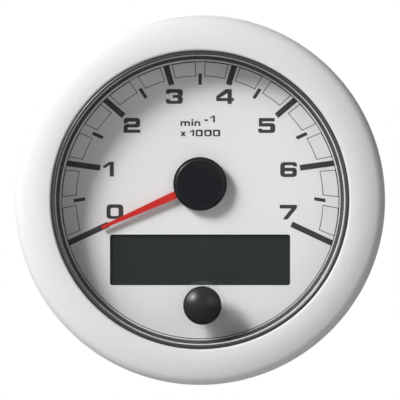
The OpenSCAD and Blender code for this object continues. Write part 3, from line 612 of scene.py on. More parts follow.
def nothing_selected() -> None:
    """Leave edit mode and deselect every object."""
    if bpy.context.mode != "OBJECT":
        bpy.ops.object.mode_set(mode="OBJECT")
    bpy.ops.object.select_all(action="DESELECT")


def pick(*things: bpy.types.Object) -> None:
    """Select these objects alone and make the first one active.

    Args:
        things: the objects
    """
    nothing_selected()
    for thing in things:
        thing.select_set(True)
    bpy.context.view_layer.objects.active = things[0]


def start(name: str, point: Vector) -> bpy.types.Object:
    """Open a new mesh in edit mode with one selected vertex.

    Args:
        name: the piece's name
        point: where the vertex stands

    Returns:
        The new object.
    """
    nothing_selected()
    bpy.ops.mesh.primitive_plane_add(size=SEED, location=point)
    thing = bpy.context.active_object
    thing.name = thing.data.name = name
    bpy.ops.object.transform_apply(location=True)
    bpy.ops.object.mode_set(mode="EDIT")
    bpy.ops.mesh.select_all(action="SELECT")
    bpy.ops.mesh.merge(type="CENTER")
    return thing


def extrude(way: Vector) -> None:
    """Extrude what is selected in the open mesh."""
    bpy.ops.mesh.extrude_region_move(TRANSFORM_OT_translate={"value": tuple(way)})


def follow(points: Sequence[Vector]) -> None:
    """Extrude the selected vertex through the points, the first of which it stands on."""
    for before, after in zip(points, points[1:]):
        extrude(after - before)


def weld() -> None:
    """Merge corners of the open mesh that lie on each other, and leave it all selected."""
    bpy.ops.mesh.select_all(action="SELECT")
    bpy.ops.mesh.remove_doubles(threshold=WELD)


def close_up() -> None:
    """Weld, turn the faces outwards, leave edit mode and shade round forms smooth."""
    weld()
    bpy.ops.mesh.delete_loose()
    bpy.ops.mesh.select_all(action="SELECT")
    bpy.ops.mesh.normals_make_consistent(inside=False)
    bpy.ops.object.mode_set(mode="OBJECT")
    bpy.ops.object.shade_smooth_by_angle(angle=SMOOTH)


def turn_round(angle: float) -> None:
    """Turn what is selected round the gauge's axis by an angle in radians."""
    bpy.ops.transform.rotate(value=angle, orient_axis="Y", center_override=(0.0, 0.0, 0.0))


def lathe(
    name: str, profile: Sequence[Point], centre: Point = (0.0, 0.0), steps: int = 192
) -> bpy.types.Object:
    """Spin a closed profile round an axis that points to the viewer.

    Args:
        name: the piece's name
        profile: radius and height of each corner
        centre: where the axis stands in the front view
        steps: segments round the axis

    Returns:
        The closed solid.
    """
    ends = [*profile, profile[0]]
    points = [place(centre[0] + r, centre[1], z) for r, z in ends]
    thing = start(name, points[0])
    follow(points)
    bpy.ops.mesh.select_all(action="SELECT")
    bpy.ops.mesh.spin(
        steps=steps, angle=2 * math.pi, center=place(*centre, 0.0), axis=(0.0, 1.0, 0.0)
    )
    close_up()
    return thing


def ring(inner: float, outer: float, low: float, high: float) -> list[Point]:
    """Give the section of a plain ring, or of a disc where the inner radius is 0."""
    return [(inner, low), (outer, low), (outer, high), (inner, high)]


def rounded(corners: Sequence[Corner], steps: int = 4) -> list[Point]:
    """Round the corners of a closed outline.

    Args:
        corners: x, y and, where the corner is round, its radius
        steps: chords in each round

    Returns:
        The outline's points.
    """
    nearly_straight = math.radians(88)
    share_of_side = 0.49
    spots = [(Vector(c[:2]), c[2] if len(c) > 2 else 0.0) for c in corners]
    outline: list[Point] = []
    for i, (spot, radius) in enumerate(spots):
        back = spots[i - 1][0] - spot
        ahead = spots[(i + 1) % len(spots)][0] - spot
        half = back.angle(ahead) / 2
        if radius <= 0 or half > nearly_straight:
            outline.append(tuple(spot))
            continue
        reach = min(
            radius / math.tan(half),
            share_of_side * back.length, share_of_side * ahead.length,
        )
        radius = reach * math.tan(half)
        way = (back.normalized() + ahead.normalized()).normalized()
        hub = spot + way * radius / math.sin(half)
        first = spot + back.normalized() * reach - hub
        last = spot + ahead.normalized() * reach - hub
        sweep = first.angle_signed(last)
        for k in range(steps + 1):
            turn = sweep * k / steps
            turned = Vector((
                first.x * math.cos(turn) + first.y * math.sin(turn),
                first.y * math.cos(turn) - first.x * math.sin(turn),
            ))
            outline.append(tuple(hub + turned))
    return outline


def sheet_of(
    name: str, outlines: Sequence[Sequence[Point]], low: float, high: float
) -> bpy.types.Object:
    """Fill an outline and its holes, and give it a thickness.

    Args:
        name: the piece's name
        outlines: the outer outline, then the holes
        low: height of the back
        high: height of the front

    Returns:
        The closed solid.
    """
    thing = None
    for outline in outlines:
        points = [place(x, y, low) for x, y in [*outline, outline[0]]]
        if thing is None:
            thing = start(name, points[0])
        else:
            bpy.ops.mesh.select_all(action="DESELECT")
            bpy.ops.mesh.primitive_plane_add(size=SEED, location=points[0])
            bpy.ops.mesh.merge(type="CENTER")
        follow(points)
    weld()
    bpy.ops.mesh.fill(use_beauty=True)
    bpy.ops.mesh.select_all(action="SELECT")
    extrude(place(0.0, 0.0, high - low))
    close_up()
    return thing


def section_of(name: str, corners: Sequence[Point]) -> bpy.types.Object:
    """Fill a section that stands on the gauge's axis, and leave it selected in edit mode.

    Args:
        name: the piece's name
        corners: radius and height of each corner

    Returns:
        The new object.
    """
    points = [place(r, 0.0, z) for r, z in [*corners, corners[0]]]
    thing = start(name, points[0])
    follow(points)
    weld()
    bpy.ops.mesh.edge_face_add()
    return thing


def around(part: bpy.types.Object, count: int) -> list[bpy.types.Object]:
    """Set copies of a part evenly round the gauge's axis.

    Args:
        part: the part, which becomes the first of the row
        count: how many there are in the end

    Returns:
        All of them.
    """
    row = [part]
    for i in range(1, count):
        pick(part)
        bpy.ops.object.duplicate()
        turn_round(2 * math.pi * i / count)
        bpy.ops.object.transform_apply(location=True, rotation=True)
        row.append(bpy.context.active_object)
    return row


def joined(name: str, parts: Sequence[bpy.types.Object]) -> bpy.types.Object:
    """Join pieces that are one moulding or one print.

    Args:
        name: the joined piece's name
        parts: what it is made of

    Returns:
        The joined object.
    """
    pick(*parts)
    bpy.ops.object.join()
    whole = bpy.context.active_object
    whole.name = whole.data.name = name
    return whole


def copy_of(node: str, name: str) -> bpy.types.Object:
    """Copy a CAD node's mesh into a new piece and weld its loose triangles.

    Args:
        node: the CAD node
        name: the new piece's name

    Returns:
        The welded copy.
    """
    thing = bpy.data.objects.new(name, frame["nodes"][node].data.copy())
    bpy.context.collection.objects.link(thing)
    thing.data.name = name
    pick(thing)
    bpy.ops.object.mode_set(mode="EDIT")
    weld()
    bpy.ops.object.mode_set(mode="OBJECT")
    return thing


def work_in(piece: bpy.types.Object, tool: bpy.types.Object, join: Join) -> None:
    """Add a tool's solid to a piece or cut it out, and take the tool away.

    Args:
        piece: the piece that stays
        tool: the solid that is used up
        join: whether it is added or cut
    """
    pick(piece)
    bpy.ops.object.modifier_add(type="BOOLEAN")
    change = piece.modifiers[-1]
    change.operation = join.value
    change.solver = "EXACT"
    change.object = tool
    bpy.ops.object.modifier_apply(modifier=change.name)
    bpy.data.objects.remove(tool)
    bpy.ops.object.shade_smooth_by_angle(angle=SMOOTH)


@dataclass(frozen=True)
class Thread:
    """A right-handed thread round an axis that points to the viewer."""

    root_r: float
    crest_r: float
    pitch: float
    low: float
    high: float
    centre: Point = (0.0, 0.0)
    steps: int = 96
    # Length of a flank along the axis, as a share of the thread's depth
    flank_share: float = 0.62
    # Whole turns that the rod is screwed past the thread's ends
    run_out: int = 2
    # Where the rod is trimmed past the thread's ends, as a share of the pitch
    trim_share: float = 0.87

    def rod(self, play: float = 0.0) -> bpy.types.Object:
        """Screw a one-pitch chain into a solid threaded rod, longer than the thread.

        Args:
            play: how far the rod's surface stands outside the thread

        Returns:
            The rod, with its ends trimmed flat and filled.
        """
        flank = self.flank_share * (self.crest_r - self.root_r)
        land = (self.pitch - 2 * flank) / 2
        foot = self.low - self.run_out * self.pitch
        root, crest = self.root_r + play, self.crest_r + play
        chain = [
            (root, foot + self.pitch + play), (crest, foot + 2 * land + flank + play),
            (crest, foot + land + flank - play), (root, foot + land - play),
            (root, foot + play),
        ]
        points = [place(self.centre[0] + r, self.centre[1], z) for r, z in chain]
        rod = start("thread", points[0])
        follow(points)
        bpy.ops.mesh.select_all(action="SELECT")
        bpy.ops.mesh.screw(
            steps=self.steps,
            turns=math.ceil((self.high - self.low) / self.pitch) + 2 * self.run_out,
            center=place(*self.centre, 0.0), axis=(0.0, -1.0, 0.0),
        )
        weld()
        spare = self.trim_share * self.pitch
        for end, way in ((self.low - spare, 1.0), (self.high + spare, -1.0)):
            bpy.ops.mesh.select_all(action="SELECT")
            bpy.ops.mesh.bisect(
                plane_co=place(*self.centre, end), plane_no=(0.0, way, 0.0),
                use_fill=True, clear_outer=True, threshold=WELD / 10,
            )
        close_up()
        return rod

    def cutter(self) -> bpy.types.Object:
        """Make the solid that cuts the grooves into a plain barrel.

        Returns:
            A drum that the threaded rod has been cut out of.
        """
        section = ring(0.0, self.crest_r + self.pitch, self.low, self.high)
        drum = lathe("drum", section, self.centre, self.steps)
        work_in(drum, self.rod(), Join.CUT)
        return drum


def fit_out(
    piece: bpy.types.Object, finish: Finish, slot: str, body: Body, *stands_for: str
) -> None:
    """Give a finished piece its material and body, and report it.

    Args:
        piece: the piece
        finish: what it is made of
        slot: the record's material slot; not used
        body: the CAD body that it rides on
        stands_for: the CAD nodes that it replaces
    """
    piece.data.materials.clear()
    piece.data.materials.append(finish.material())
    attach(piece, body.value)
    if stands_for:
        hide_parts(*stands_for)
    log.info("%s: %d faces, %s", piece.name, len(piece.data.polygons), finish.name)


def refinish(
    piece: bpy.types.Object, finish: Finish, chosen: Callable[[Vector], bool]
) -> None:
    """Give some of a piece's faces a finish of their own.

    Args:
        piece: the piece
        finish: the finish of the chosen faces
        chosen: tells from a face's centre whether it is one of them
    """
    piece.data.materials.append(finish.material())
    last = len(piece.data.materials) - 1
    for face in piece.data.polygons:
        if chosen(face.center):
            face.material_index = last


# The studio, and the gauge's sub-assemblies


@dataclass(frozen=True)
class Lamp:
    """A square soft lamp: direction from the gauge, side in metres and power in watts."""

    name: str
    way: Way
    side: float
    watts: float


@dataclass
class Studio:
    """White surround, pale floor, soft lamps and a camera with a long lens.

    Lengths are in metres, but for the sensor's width in millimetres.
    """

    camera_away: float = 2.2
    sensor_mm: float = 36.0
    sight: float = 20.0
    frame_px: float = 400.0
    bezel_px: float = 185.1
    bezel_r: float = 0.052
    rim_ahead: float = 0.005
    aim_px: Point = (-0.05, -0.12)
    lamps_away: float = 2.0
    lamps: tuple[Lamp, ...] = (
        Lamp("key_lamp", (-0.611, -0.588, 0.531), 0.5, 30.0),
        Lamp("soft_lamp", (-0.7, -0.45, 0.555), 1.3, 29.0),
        Lamp("fill_lamp", (0.56, -0.77, 0.3), 1.1, 4.0),
        Lamp("rear_lamp", (-0.15, 0.9, 0.4), 0.8, 12.0),
    )
    ambient: float = 0.01
    floor_z: float = -0.1
    floor_side: float = 3.0
    floor_grey: float = 0.5
    floor_rough: float = 0.9
    floor_glow: float = 0.6

    def camera(self) -> None:
        """Stand the camera where the photograph was taken from."""
        reach = self.camera_away - self.rim_ahead
        pixel = self.bezel_r / self.bezel_px
        nothing_selected()
        bpy.ops.object.camera_add(
            location=(self.aim_px[0] * pixel, -self.camera_away, self.aim_px[1] * pixel),
            rotation=(math.pi / 2, 0.0, 0.0),
        )
        camera = bpy.context.active_object
        camera.data.sensor_width = self.sensor_mm
        camera.data.lens = self.sensor_mm * reach / (self.frame_px * pixel)
        camera.data.clip_end = self.sight
        bpy.context.scene.camera = camera

    def hang(self, lamp: Lamp) -> None:
        """Hang a lamp so that it faces the gauge.

        Args:
            lamp: the lamp's place, size and power
        """
        toward = Vector(lamp.way).normalized()
        nothing_selected()
        bpy.ops.object.light_add(
            type="AREA", location=toward * self.lamps_away,
            rotation=toward.to_track_quat("Z", "Y").to_euler(),
        )
        hung = bpy.context.active_object
        hung.name = lamp.name
        hung.data.size = lamp.side
        hung.data.energy = lamp.watts

    def surround(self) -> None:
        """Show white to the camera and to reflections, with hardly any light from it."""
        world = bpy.data.worlds.new("studio")
        bpy.context.scene.world = world
        world.use_nodes = True
        tree = world.node_tree
        tree.nodes.clear()
        rays = add_node(tree, "ShaderNodeLightPath").outputs
        seen = add_node(
            tree, "ShaderNodeMath", {"operation": "MAXIMUM"},
            {0: rays["Is Camera Ray"], 1: rays["Is Glossy Ray"]},
        )
        white = add_node(
            tree, "ShaderNodeMath", {"operation": "MAXIMUM"},
            {0: seen.outputs[0], 1: rays["Is Transmission Ray"]},
        )
        level = add_node(
            tree, "ShaderNodeMapRange", {"To Min": self.ambient, "To Max": 1.0},
            {"Value": white.outputs[0]},
        )
        back = add_node(
            tree, "ShaderNodeBackground", {"Color": (1.0, 1.0, 1.0, 1.0)},
            {"Strength": level.outputs[0]},
        )
        add_node(tree, "ShaderNodeOutputWorld", links={"Surface": back.outputs[0]})

    def floor(self) -> None:
        """Lay backdrop paper that reads as pale to the camera and keeps the shadow."""
        nothing_selected()
        bpy.ops.mesh.primitive_plane_add(
            size=self.floor_side, location=(0.0, 0.0, self.floor_z)
        )
        floor = bpy.context.active_object
        floor.name = "floor"
        bpy.ops.object.transform_apply(location=True)
        paper = bpy.data.materials.new("white backdrop paper")
        paper.use_nodes = True
        tree = paper.node_tree
        shader = tree.nodes["Principled BSDF"]
        shader.inputs["Base Color"].default_value = (*[self.floor_grey] * 3, 1.0)
        shader.inputs["Roughness"].default_value = self.floor_rough
        shader.inputs["Emission Color"].default_value = (1.0, 1.0, 1.0, 1.0)
        rays = add_node(tree, "ShaderNodeLightPath").outputs
        glow = add_node(
            tree, "ShaderNodeMath", {"operation": "MULTIPLY", 1: self.floor_glow},
            {0: rays["Is Camera Ray"]},
        )
        tree.links.new(glow.outputs[0], shader.inputs["Emission Strength"])
        floor.data.materials.append(paper)

    def build(self) -> None:
        """Set up the camera, the lamps, the surround and the floor."""
        self.camera()
        for lamp in self.lamps:
            self.hang(lamp)
        self.surround()
        self.floor()
        bpy.context.scene.view_settings.view_transform = "Standard"
        log.info("studio: %d lamps", len(self.lamps))


def extent(outline: Sequence[Point]) -> Box:
    """Give an outline's left, right, low and high side."""
    xs, ys = [p[0] for p in outline], [p[1] for p in outline]
    return min(xs), max(xs), min(ys), max(ys)


def scaled(outline: Sequence[Point], old: Box, new: Box) -> list[Point]:
    """Scale an outline as its surrounding box is scaled.

    Args:
        outline: the outline's points
        old: left, right, low and high side of the box before
        new: the same of the box after

    Returns:
        The scaled points.
    """
    across = (new[1] - new[0]) / (old[1] - old[0])
    upward = (new[3] - new[2]) / (old[3] - old[2])
    return [
        (new[0] + (x - old[0]) * across, new[2] + (y - old[2]) * upward) for x, y in outline
    ]


# Outlines of the square-cut signs: x, y and corner radius, outside first, then the hole
SIGNS: dict[str, Shape] = {
    "0": (
        ((0, 0, 1), (4.75, 0, 1), (4.75, 4.1, 1), (0, 4.1, 1)),
        ((1.15, 0.8, 0.45), (3.4, 0.8, 0.45), (3.4, 3.11, 0.45), (1.15, 3.11, 0.45)),
    ),
    "1": (
        ((1.87, 4.15, 0.1), (3.2, 4.15, 0.08), (3.2, 0, 0.08), (2.02, 0, 0.08),
         (2.02, 3.28), (0.58, 2.28, 0.08), (0, 2.81, 0.08)),
    ),
    "2": (
        ((0.04, 2.6), (0.04, 4.2, 0.8), (4.67, 4.2, 0.9), (4.67, 1.5, 0.75),
         (1.18, 1.5, 0.12), (1.18, 0.88, 0.05), (4.74, 0.88), (4.74, 0), (0, 0),
         (0, 2.42, 0.8), (3.44, 2.5, 0.28), (3.44, 3.15, 0.28), (1.2, 3.15, 0.12),
         (1.2, 2.78)),
    ),
    "3": (
        ((0.05, 2.83), (0, 4.15, 0.85), (4.8, 4.15, 0.85), (4.8, 2.4, 0.4), (4.3, 2.1),
         (4.8, 1.8, 0.4), (4.8, 0, 0.85), (0, 0, 0.8), (0, 1.37), (1.15, 1.37),
         (1.15, 0.86, 0.2), (3.4, 0.86, 0.3), (3.4, 1.66, 0.3), (1.97, 1.66),
         (1.97, 2.47), (3.4, 2.47, 0.3), (3.4, 3.11, 0.3), (1.15, 3.11, 0.2),
         (1.15, 2.83)),
    ),
    "4": (
        ((2.7, 4.2, 0.1), (4.39, 4.2, 0.05), (4.39, 1.68), (5, 1.68), (5, 0.81),
         (4.39, 0.81), (4.39, 0), (3.18, 0), (3.18, 0.81), (0, 0.81, 0.1),
         (0, 2.2, 0.25)),
        ((3.2, 3.1), (3.2, 1.68), (0.95, 1.68)),
    ),
    "5": (
        ((0.2, 4.2), (4.67, 4.2), (4.67, 3.24), (1.2, 3.24), (1.2, 2.77), (4.8, 2.77, 0.9),
         (4.8, 0, 0.9), (0, 0, 0.75), (0, 1.25), (1.1, 1.25), (1.15, 0.91, 0.15),
         (3.46, 0.91, 0.3), (3.46, 1.81, 0.3), (0.2, 1.81)),
    ),
    "6": (
        ((0, 0, 1.05), (4.7, 0, 0.95), (4.7, 2.61, 0.8), (1.27, 2.61, 0.1),
         (1.27, 3.3, 0.35), (3.6, 3.3, 0.1), (3.6, 3.02), (4.7, 2.88), (4.7, 4.2, 1),
         (0, 4.2, 1.05)),
        ((1.27, 0.91, 0.25), (3.43, 0.91, 0.25), (3.43, 1.64, 0.25), (1.27, 1.64, 0.25)),
    ),
    "7": (
        ((0, 4.12), (4.85, 4.12, 0.1), (4.85, 3.24, 0.25), (2.2, 0), (0.8, 0),
         (3.28, 3.1, 0.05), (0, 3.1)),
    ),
    "m": (
        ((0, 0), (0, 1.32), (2.7, 1.32, 0.45), (2.7, 0), (2.2, 0), (2.2, 0.9, 0.12),
         (1.6, 0.9, 0.12), (1.6, 0), (1.1, 0), (1.1, 0.9, 0.12), (0.5, 0.9, 0.12),
         (0.5, 0)),
    ),
    "n": (
        ((0, 0), (0, 1.32), (1.62, 1.32, 0.5), (1.62, 0), (1.12, 0), (1.12, 0.9, 0.12),
         (0.5, 0.9, 0.12), (0.5, 0)),
    ),
    "x": (
        ((0, 1.25), (0.58, 1.25), (0.775, 0.96), (0.97, 1.25), (1.55, 1.25), (1.08, 0.63),
         (1.55, 0), (0.97, 0), (0.775, 0.3), (0.58, 0), (0, 0), (0.47, 0.63)),
    ),
    "bar": (
        ((0, 0), (1, 0), (1, 1), (0, 1)),
    ),
}

# Where the middle of each numeral lies
NUMERAL_CENTRES: dict[str, Point] = {
    "0": (-23.98, -3.31), "1": (-25.86, 8.66), "2": (-19.18, 21.0), "3": (-7.24, 29.14),
    "4": (7.05, 29.12), "5": (18.78, 20.96), "6": (24.93, 8.55), "7": (24.87, -3.46),
}

# The unit, revolutions per minute times a thousand: each sign with its box
UNIT_TEXT: tuple[tuple[str, Box], ...] = (
    ("m", (-5.52, -2.82, 20.84, 22.16)), ("bar", (-2.42, -1.91, 20.84, 22.18)),
    ("bar", (-2.42, -1.91, 22.36, 22.8)), ("n", (-1.56, 0.06, 20.84, 22.16)),
    ("bar", (1.28, 2.22, 22.22, 22.7)), ("1", (2.78, 4.2, 21.87, 23.76)),
    ("x", (-5.54, -3.96, 17.95, 19.23)), ("1", (-2.98, -1.65, 17.98, 19.74)),
    ("0", (-1.22, 0.78, 17.9, 19.77)), ("0", (1.2, 3.28, 17.9, 19.77)),
    ("0", (3.62, 5.7, 17.9, 19.77)),
)


@dataclass(frozen=True)
class Circle:
    """A circle on the dial that marks end on."""

    x: float
    y: float
    radius: float

    def grown(self, by: float) -> "Circle":
        """Give a circle round the same centre whose radius differs."""
        return Circle(self.x, self.y, self.radius + by)


@dataclass
class DialPrint:
    """The ink on the dial: scale, numerals and the plain unit text above the pointer.

    The marks fan out from a centre of their own. Where the scale starts, how far it sweeps
    and how far the frames stay off the marks is in degrees.
    """

    fan: Point = (0.02, 5.15)
    face: float = -1.5
    sunk: float = 0.02
    proud: float = 0.03
    zero: float = 205.0
    sweep: float = 230.0
    top_number: int = 7
    edge: Circle = Circle(0.1, -0.08, 39.05)
    edge_line: float = 0.21
    bar_w: float = 1.62
    bar_from: float = 28.4
    half_w: float = 0.95
    half_from: Circle = Circle(-0.12, 0.16, 32.28)
    half_to: Circle = Circle(-0.12, 0.16, 35.46)
    frame_from: Circle = Circle(-0.12, 0.16, 34.68)
    frame_line: float = 0.2
    frame_chords: int = 8
    off_bar: float = 2.8
    off_half: float = 2.2

    def figure(self, outlines: Sequence[Sequence[Point]]) -> bpy.types.Object:
        """Print one figure from its outline and holes."""
        return sheet_of("ink", outlines, self.face - self.sunk, self.face + self.proud)

    def spot(self, angle: float, away: float, aside: float = 0.0) -> Point:
        """Give a point on a line from the fan's centre, or beside that line.

        Args:
            angle: the line's direction in degrees
            away: the point's distance along the line
            aside: its distance to the line's left

        Returns:
            The point.
        """
        t = math.radians(angle)
        return (
            self.fan[0] + away * math.cos(t) - aside * math.sin(t),
            self.fan[1] + away * math.sin(t) + aside * math.cos(t),
        )

    def reach(self, angle: float, circle: Circle, aside: float = 0.0) -> float:
        """Find how far along a line of the fan it meets a circle.

        Args:
            angle: the line's direction in degrees
            circle: the circle
            aside: how far the line runs beside the fan's centre

        Returns:
            The distance along the line.
        """
        t = math.radians(angle)
        foot = self.spot(angle, 0.0, aside)
        x, y = foot[0] - circle.x, foot[1] - circle.y
        inward = x * math.cos(t) + y * math.sin(t)
        return -inward + math.sqrt(inward ** 2 - x * x - y * y + circle.radius ** 2)

    def stroke(
        self, angle: float, wide: float, inner: Circle | None, outer: Circle
    ) -> bpy.types.Object:
        """Print a bar that ends on a circle.

        Args:
            angle: its direction from the fan's centre
            wide: its width
            inner: the circle that it starts on, or None for a straight start
            outer: the circle that it ends on

        Returns:
            The printed bar.
        """
        starts, ends = [], []
        for aside in (-wide / 2, 0.0, wide / 2):
            near = self.bar_from if inner is None else self.reach(angle, inner, aside)
            starts.append(self.spot(angle, near, aside))
            ends.append(self.spot(angle, self.reach(angle, outer, aside), aside))
        return self.figure([[*starts, *reversed(ends)]])

    def field(self, first: float, last: float, shrink: float) -> list[Point]:
        """Give the outline of the field between two marks.

        Args:
            first: direction of the side nearer to 0, from the fan's centre
            last: direction of the other side
            shrink: how far the outline is drawn inside these

        Returns:
            The closed outline.
        """
        rows = []
        for circle in (self.frame_from.grown(shrink), self.edge.grown(-shrink)):
            line = []
            for k in range(self.frame_chords + 1):
                angle = first + (last - first) * k / self.frame_chords
                aside = shrink * (2 * k / self.frame_chords - 1)
                line.append(self.spot(angle, self.reach(angle, circle), aside))
            rows.append(line)
        return [*rows[0], *reversed(rows[1])]

    def marks(self) -> list[bpy.types.Object]:
        """Print the bars, the half marks and the fine frames between them.

        Returns:
            All of them.
        """
        step = self.sweep / self.top_number
        made = []
        for number in range(self.top_number + 1):
            bar = self.zero - step * number
            made.append(self.stroke(bar, self.bar_w, None, self.edge))
            if number == self.top_number:
                break
            half = bar - step / 2
            made.append(self.stroke(half, self.half_w, self.half_from, self.half_to))
            for first, last in (
                (bar - self.off_bar, half + self.off_half),
                (half - self.off_half, bar - step + self.off_bar),
            ):
                made.append(self.figure([
                    self.field(first, last, gap) for gap in (0.0, self.frame_line)
                ]))
        return made

    def numeral(self, sign: str, centre: Point) -> bpy.types.Object:
        """Print a numeral with its box centred on a point.

        Args:
            sign: the numeral
            centre: the point

        Returns:
            The printed numeral.
        """
        outlines = [rounded(part) for part in SIGNS[sign]]
        left, right, low, high = extent(outlines[0])
        dx, dy = centre[0] - (left + right) / 2, centre[1] - (low + high) / 2
        return self.figure([[(x + dx, y + dy) for x, y in part] for part in outlines])

    def small(self, sign: str, box: Box) -> bpy.types.Object:
        """Print a sign scaled into a box: left, right, low and high side."""
        outlines = [rounded(part) for part in SIGNS[sign]]
        return self.figure([scaled(part, extent(outlines[0]), box) for part in outlines])

    def build(self) -> None:
        """Print the whole dial."""
        inner, outer = (self.edge.radius + side * self.edge_line / 2 for side in (-1, 1))
        section = ring(inner, outer, self.face - self.sunk, self.face + self.proud)
        figures = [lathe("ink", section, (self.edge.x, self.edge.y)), *self.marks()]
        figures += [self.small(sign, box) for sign, box in UNIT_TEXT]
        figures += [self.numeral(sign, centre) for sign, centre in NUMERAL_CENTRES.items()]
        fit_out(joined("dial_print", figures), INK, "dial_face", Body.FIXED)


@dataclass
class Bezel:
    """Snap-on bezel: rolled lip, shallow crown and rolled edge over a hollow moulding."""

    radius: float = 52.0
    low: float = 1.0
    crest: Point = (43.698, 9.5)
    lip_r: float = 41.9
    lip_low: float = 8.0
    lip_roll: float = 0.65
    lip_steps: int = 8
    crown: float = 16.5
    crown_in_steps: int = 4
    crown_out_steps: int = 16
    roll: float = 3.75
    wall: float = 1.8
    hollow_steps: int = 10
    pocket: float = 43.5
    skirt_low: float = 3.45
    ribs: int = 24
    rib_t: float = 1.0
    noses: int = 6
    nose_w: float = 9.0
    nose_top: float = 1.55
    nose_out: float = 1.7
    nose_root: float = 0.4
    nose_steps: int = 8

    def crown_hub(self) -> Point:
        """Give the middle of the crown's curve."""
        return self.crest[0], self.crest[1] - self.crown

    def lip(self) -> list[Point]:
        """Give the lip's rolled edge and its crown, from the opening to the crest.

        Returns:
            Radius and height of each point.
        """
        hub = self.crown_hub()
        inside = self.crown - self.lip_roll
        turn = math.degrees(math.acos((self.lip_r + self.lip_roll - hub[0]) / inside))
        centre = on_circle(hub, inside, turn)
        return [
            *arc(centre, self.lip_roll, 180.0, turn, self.lip_steps),
            *arc(hub, self.crown, turn, 90.0, self.crown_in_steps)[1:],
        ]

    def cover(self, inset: float, steps: int) -> list[Point]:
        """Give crown and rolled edge, from the crest outwards.

        Args:
            inset: how far inside the surface they lie
            steps: chords in each of the two curves

        Returns:
            Radius and height of each point.
        """
        hub = self.crown_hub()
        down = self.crown - self.roll
        lean = math.degrees(math.asin((self.radius - self.roll - self.crest[0]) / down))
        edge = (self.radius - self.roll, hub[1] + down * math.cos(math.radians(lean)))
        first = 90.0
        if inset:
            start_r = self.pocket + self.wall - self.crest[0]
            first -= math.degrees(math.asin(start_r / (self.crown - inset)))
        return [
            *arc(hub, self.crown - inset, first, 90.0 - lean, steps),
            *arc(edge, self.roll - inset, 90.0 - lean, 0.0, steps)[1:],
        ]

    def hollow(self) -> list[Point]:
        """Give the outline of the hollow under the crown.

        Returns:
            Radius and height of each point.
        """
        return [
            (self.pocket + self.wall, self.skirt_low),
            *self.cover(self.wall, self.hollow_steps),
            (self.radius - self.wall, self.skirt_low),
        ]

    def rib(self) -> bpy.types.Object:
        """Fill the hollow's outline and give it a rib's thickness.

        Returns:
            One rib, on the right-hand side.
        """
        rib = section_of("rib", self.hollow())
        bpy.ops.transform.translate(value=(0.0, 0.0, -self.rib_t * MM / 2))
        extrude(place(0.0, self.rib_t, 0.0))
        close_up()
        return rib

    def nose(self) -> bpy.types.Object:
        """Spin a hook's section through the hook's width and fill its ends.

        Returns:
            One hook, half a step round from the first rib.
        """
        inside = self.radius - self.wall
        root, face = inside + self.nose_root, inside - self.nose_root
        tip = inside - self.nose_out
        nose = section_of("nose", [
            (root, self.low), (root, self.nose_top), (tip, self.nose_top), (face, self.low),
        ])
        half = self.nose_w / inside / 2
        turn_round(math.pi / self.noses - half)
        bpy.ops.mesh.spin(
            steps=self.nose_steps, angle=2 * half,
            center=(0.0, 0.0, 0.0), axis=(0.0, 1.0, 0.0),
        )
        close_up()
        return nose

    def build(self) -> None:
        """Spin the shell and join its ribs and hooks to it."""
        section = [
            (self.lip_r, self.lip_low), *self.lip(),
            *self.cover(0.0, self.crown_out_steps)[1:],
            (self.radius, self.low), (self.radius - self.wall, self.low),
            *reversed(self.hollow()), (self.pocket, self.skirt_low),
            (self.pocket, self.lip_low),
        ]
        shell = lathe("shell", section)
        parts = [shell, *around(self.rib(), self.ribs), *around(self.nose(), self.noses)]
        fit_out(
            joined("bezel_ring", parts), BEZEL_WHITE, "bezel_white", Body.FIXED,
            "front_bezel",
        )


@dataclass
class LensSeal:
    """Gasket under the bezel's lip: a flat band with a rounded rim along its inner edge."""

    rim_at: Point = (41.2, 8.75)
    rim_r: float = 0.45
    rim_steps: int = 20
    outside: float = 43.3
    low: float = 7.5
    high: float = 8.0

    def build(self) -> None:
        """Spin the gasket's section."""
        section = [
            (self.rim_at[0] - self.rim_r, self.low),
            *arc(self.rim_at, self.rim_r, 180.0, 0.0, self.rim_steps),
            (self.rim_at[0] + self.rim_r, self.high),
            (self.outside, self.high), (self.outside, self.low),
        ]
        fit_out(
            lathe("gasket_bead", section), BEAD_BLACK, "black_rubber", Body.FIXED,
            "lens_gasket",
        )


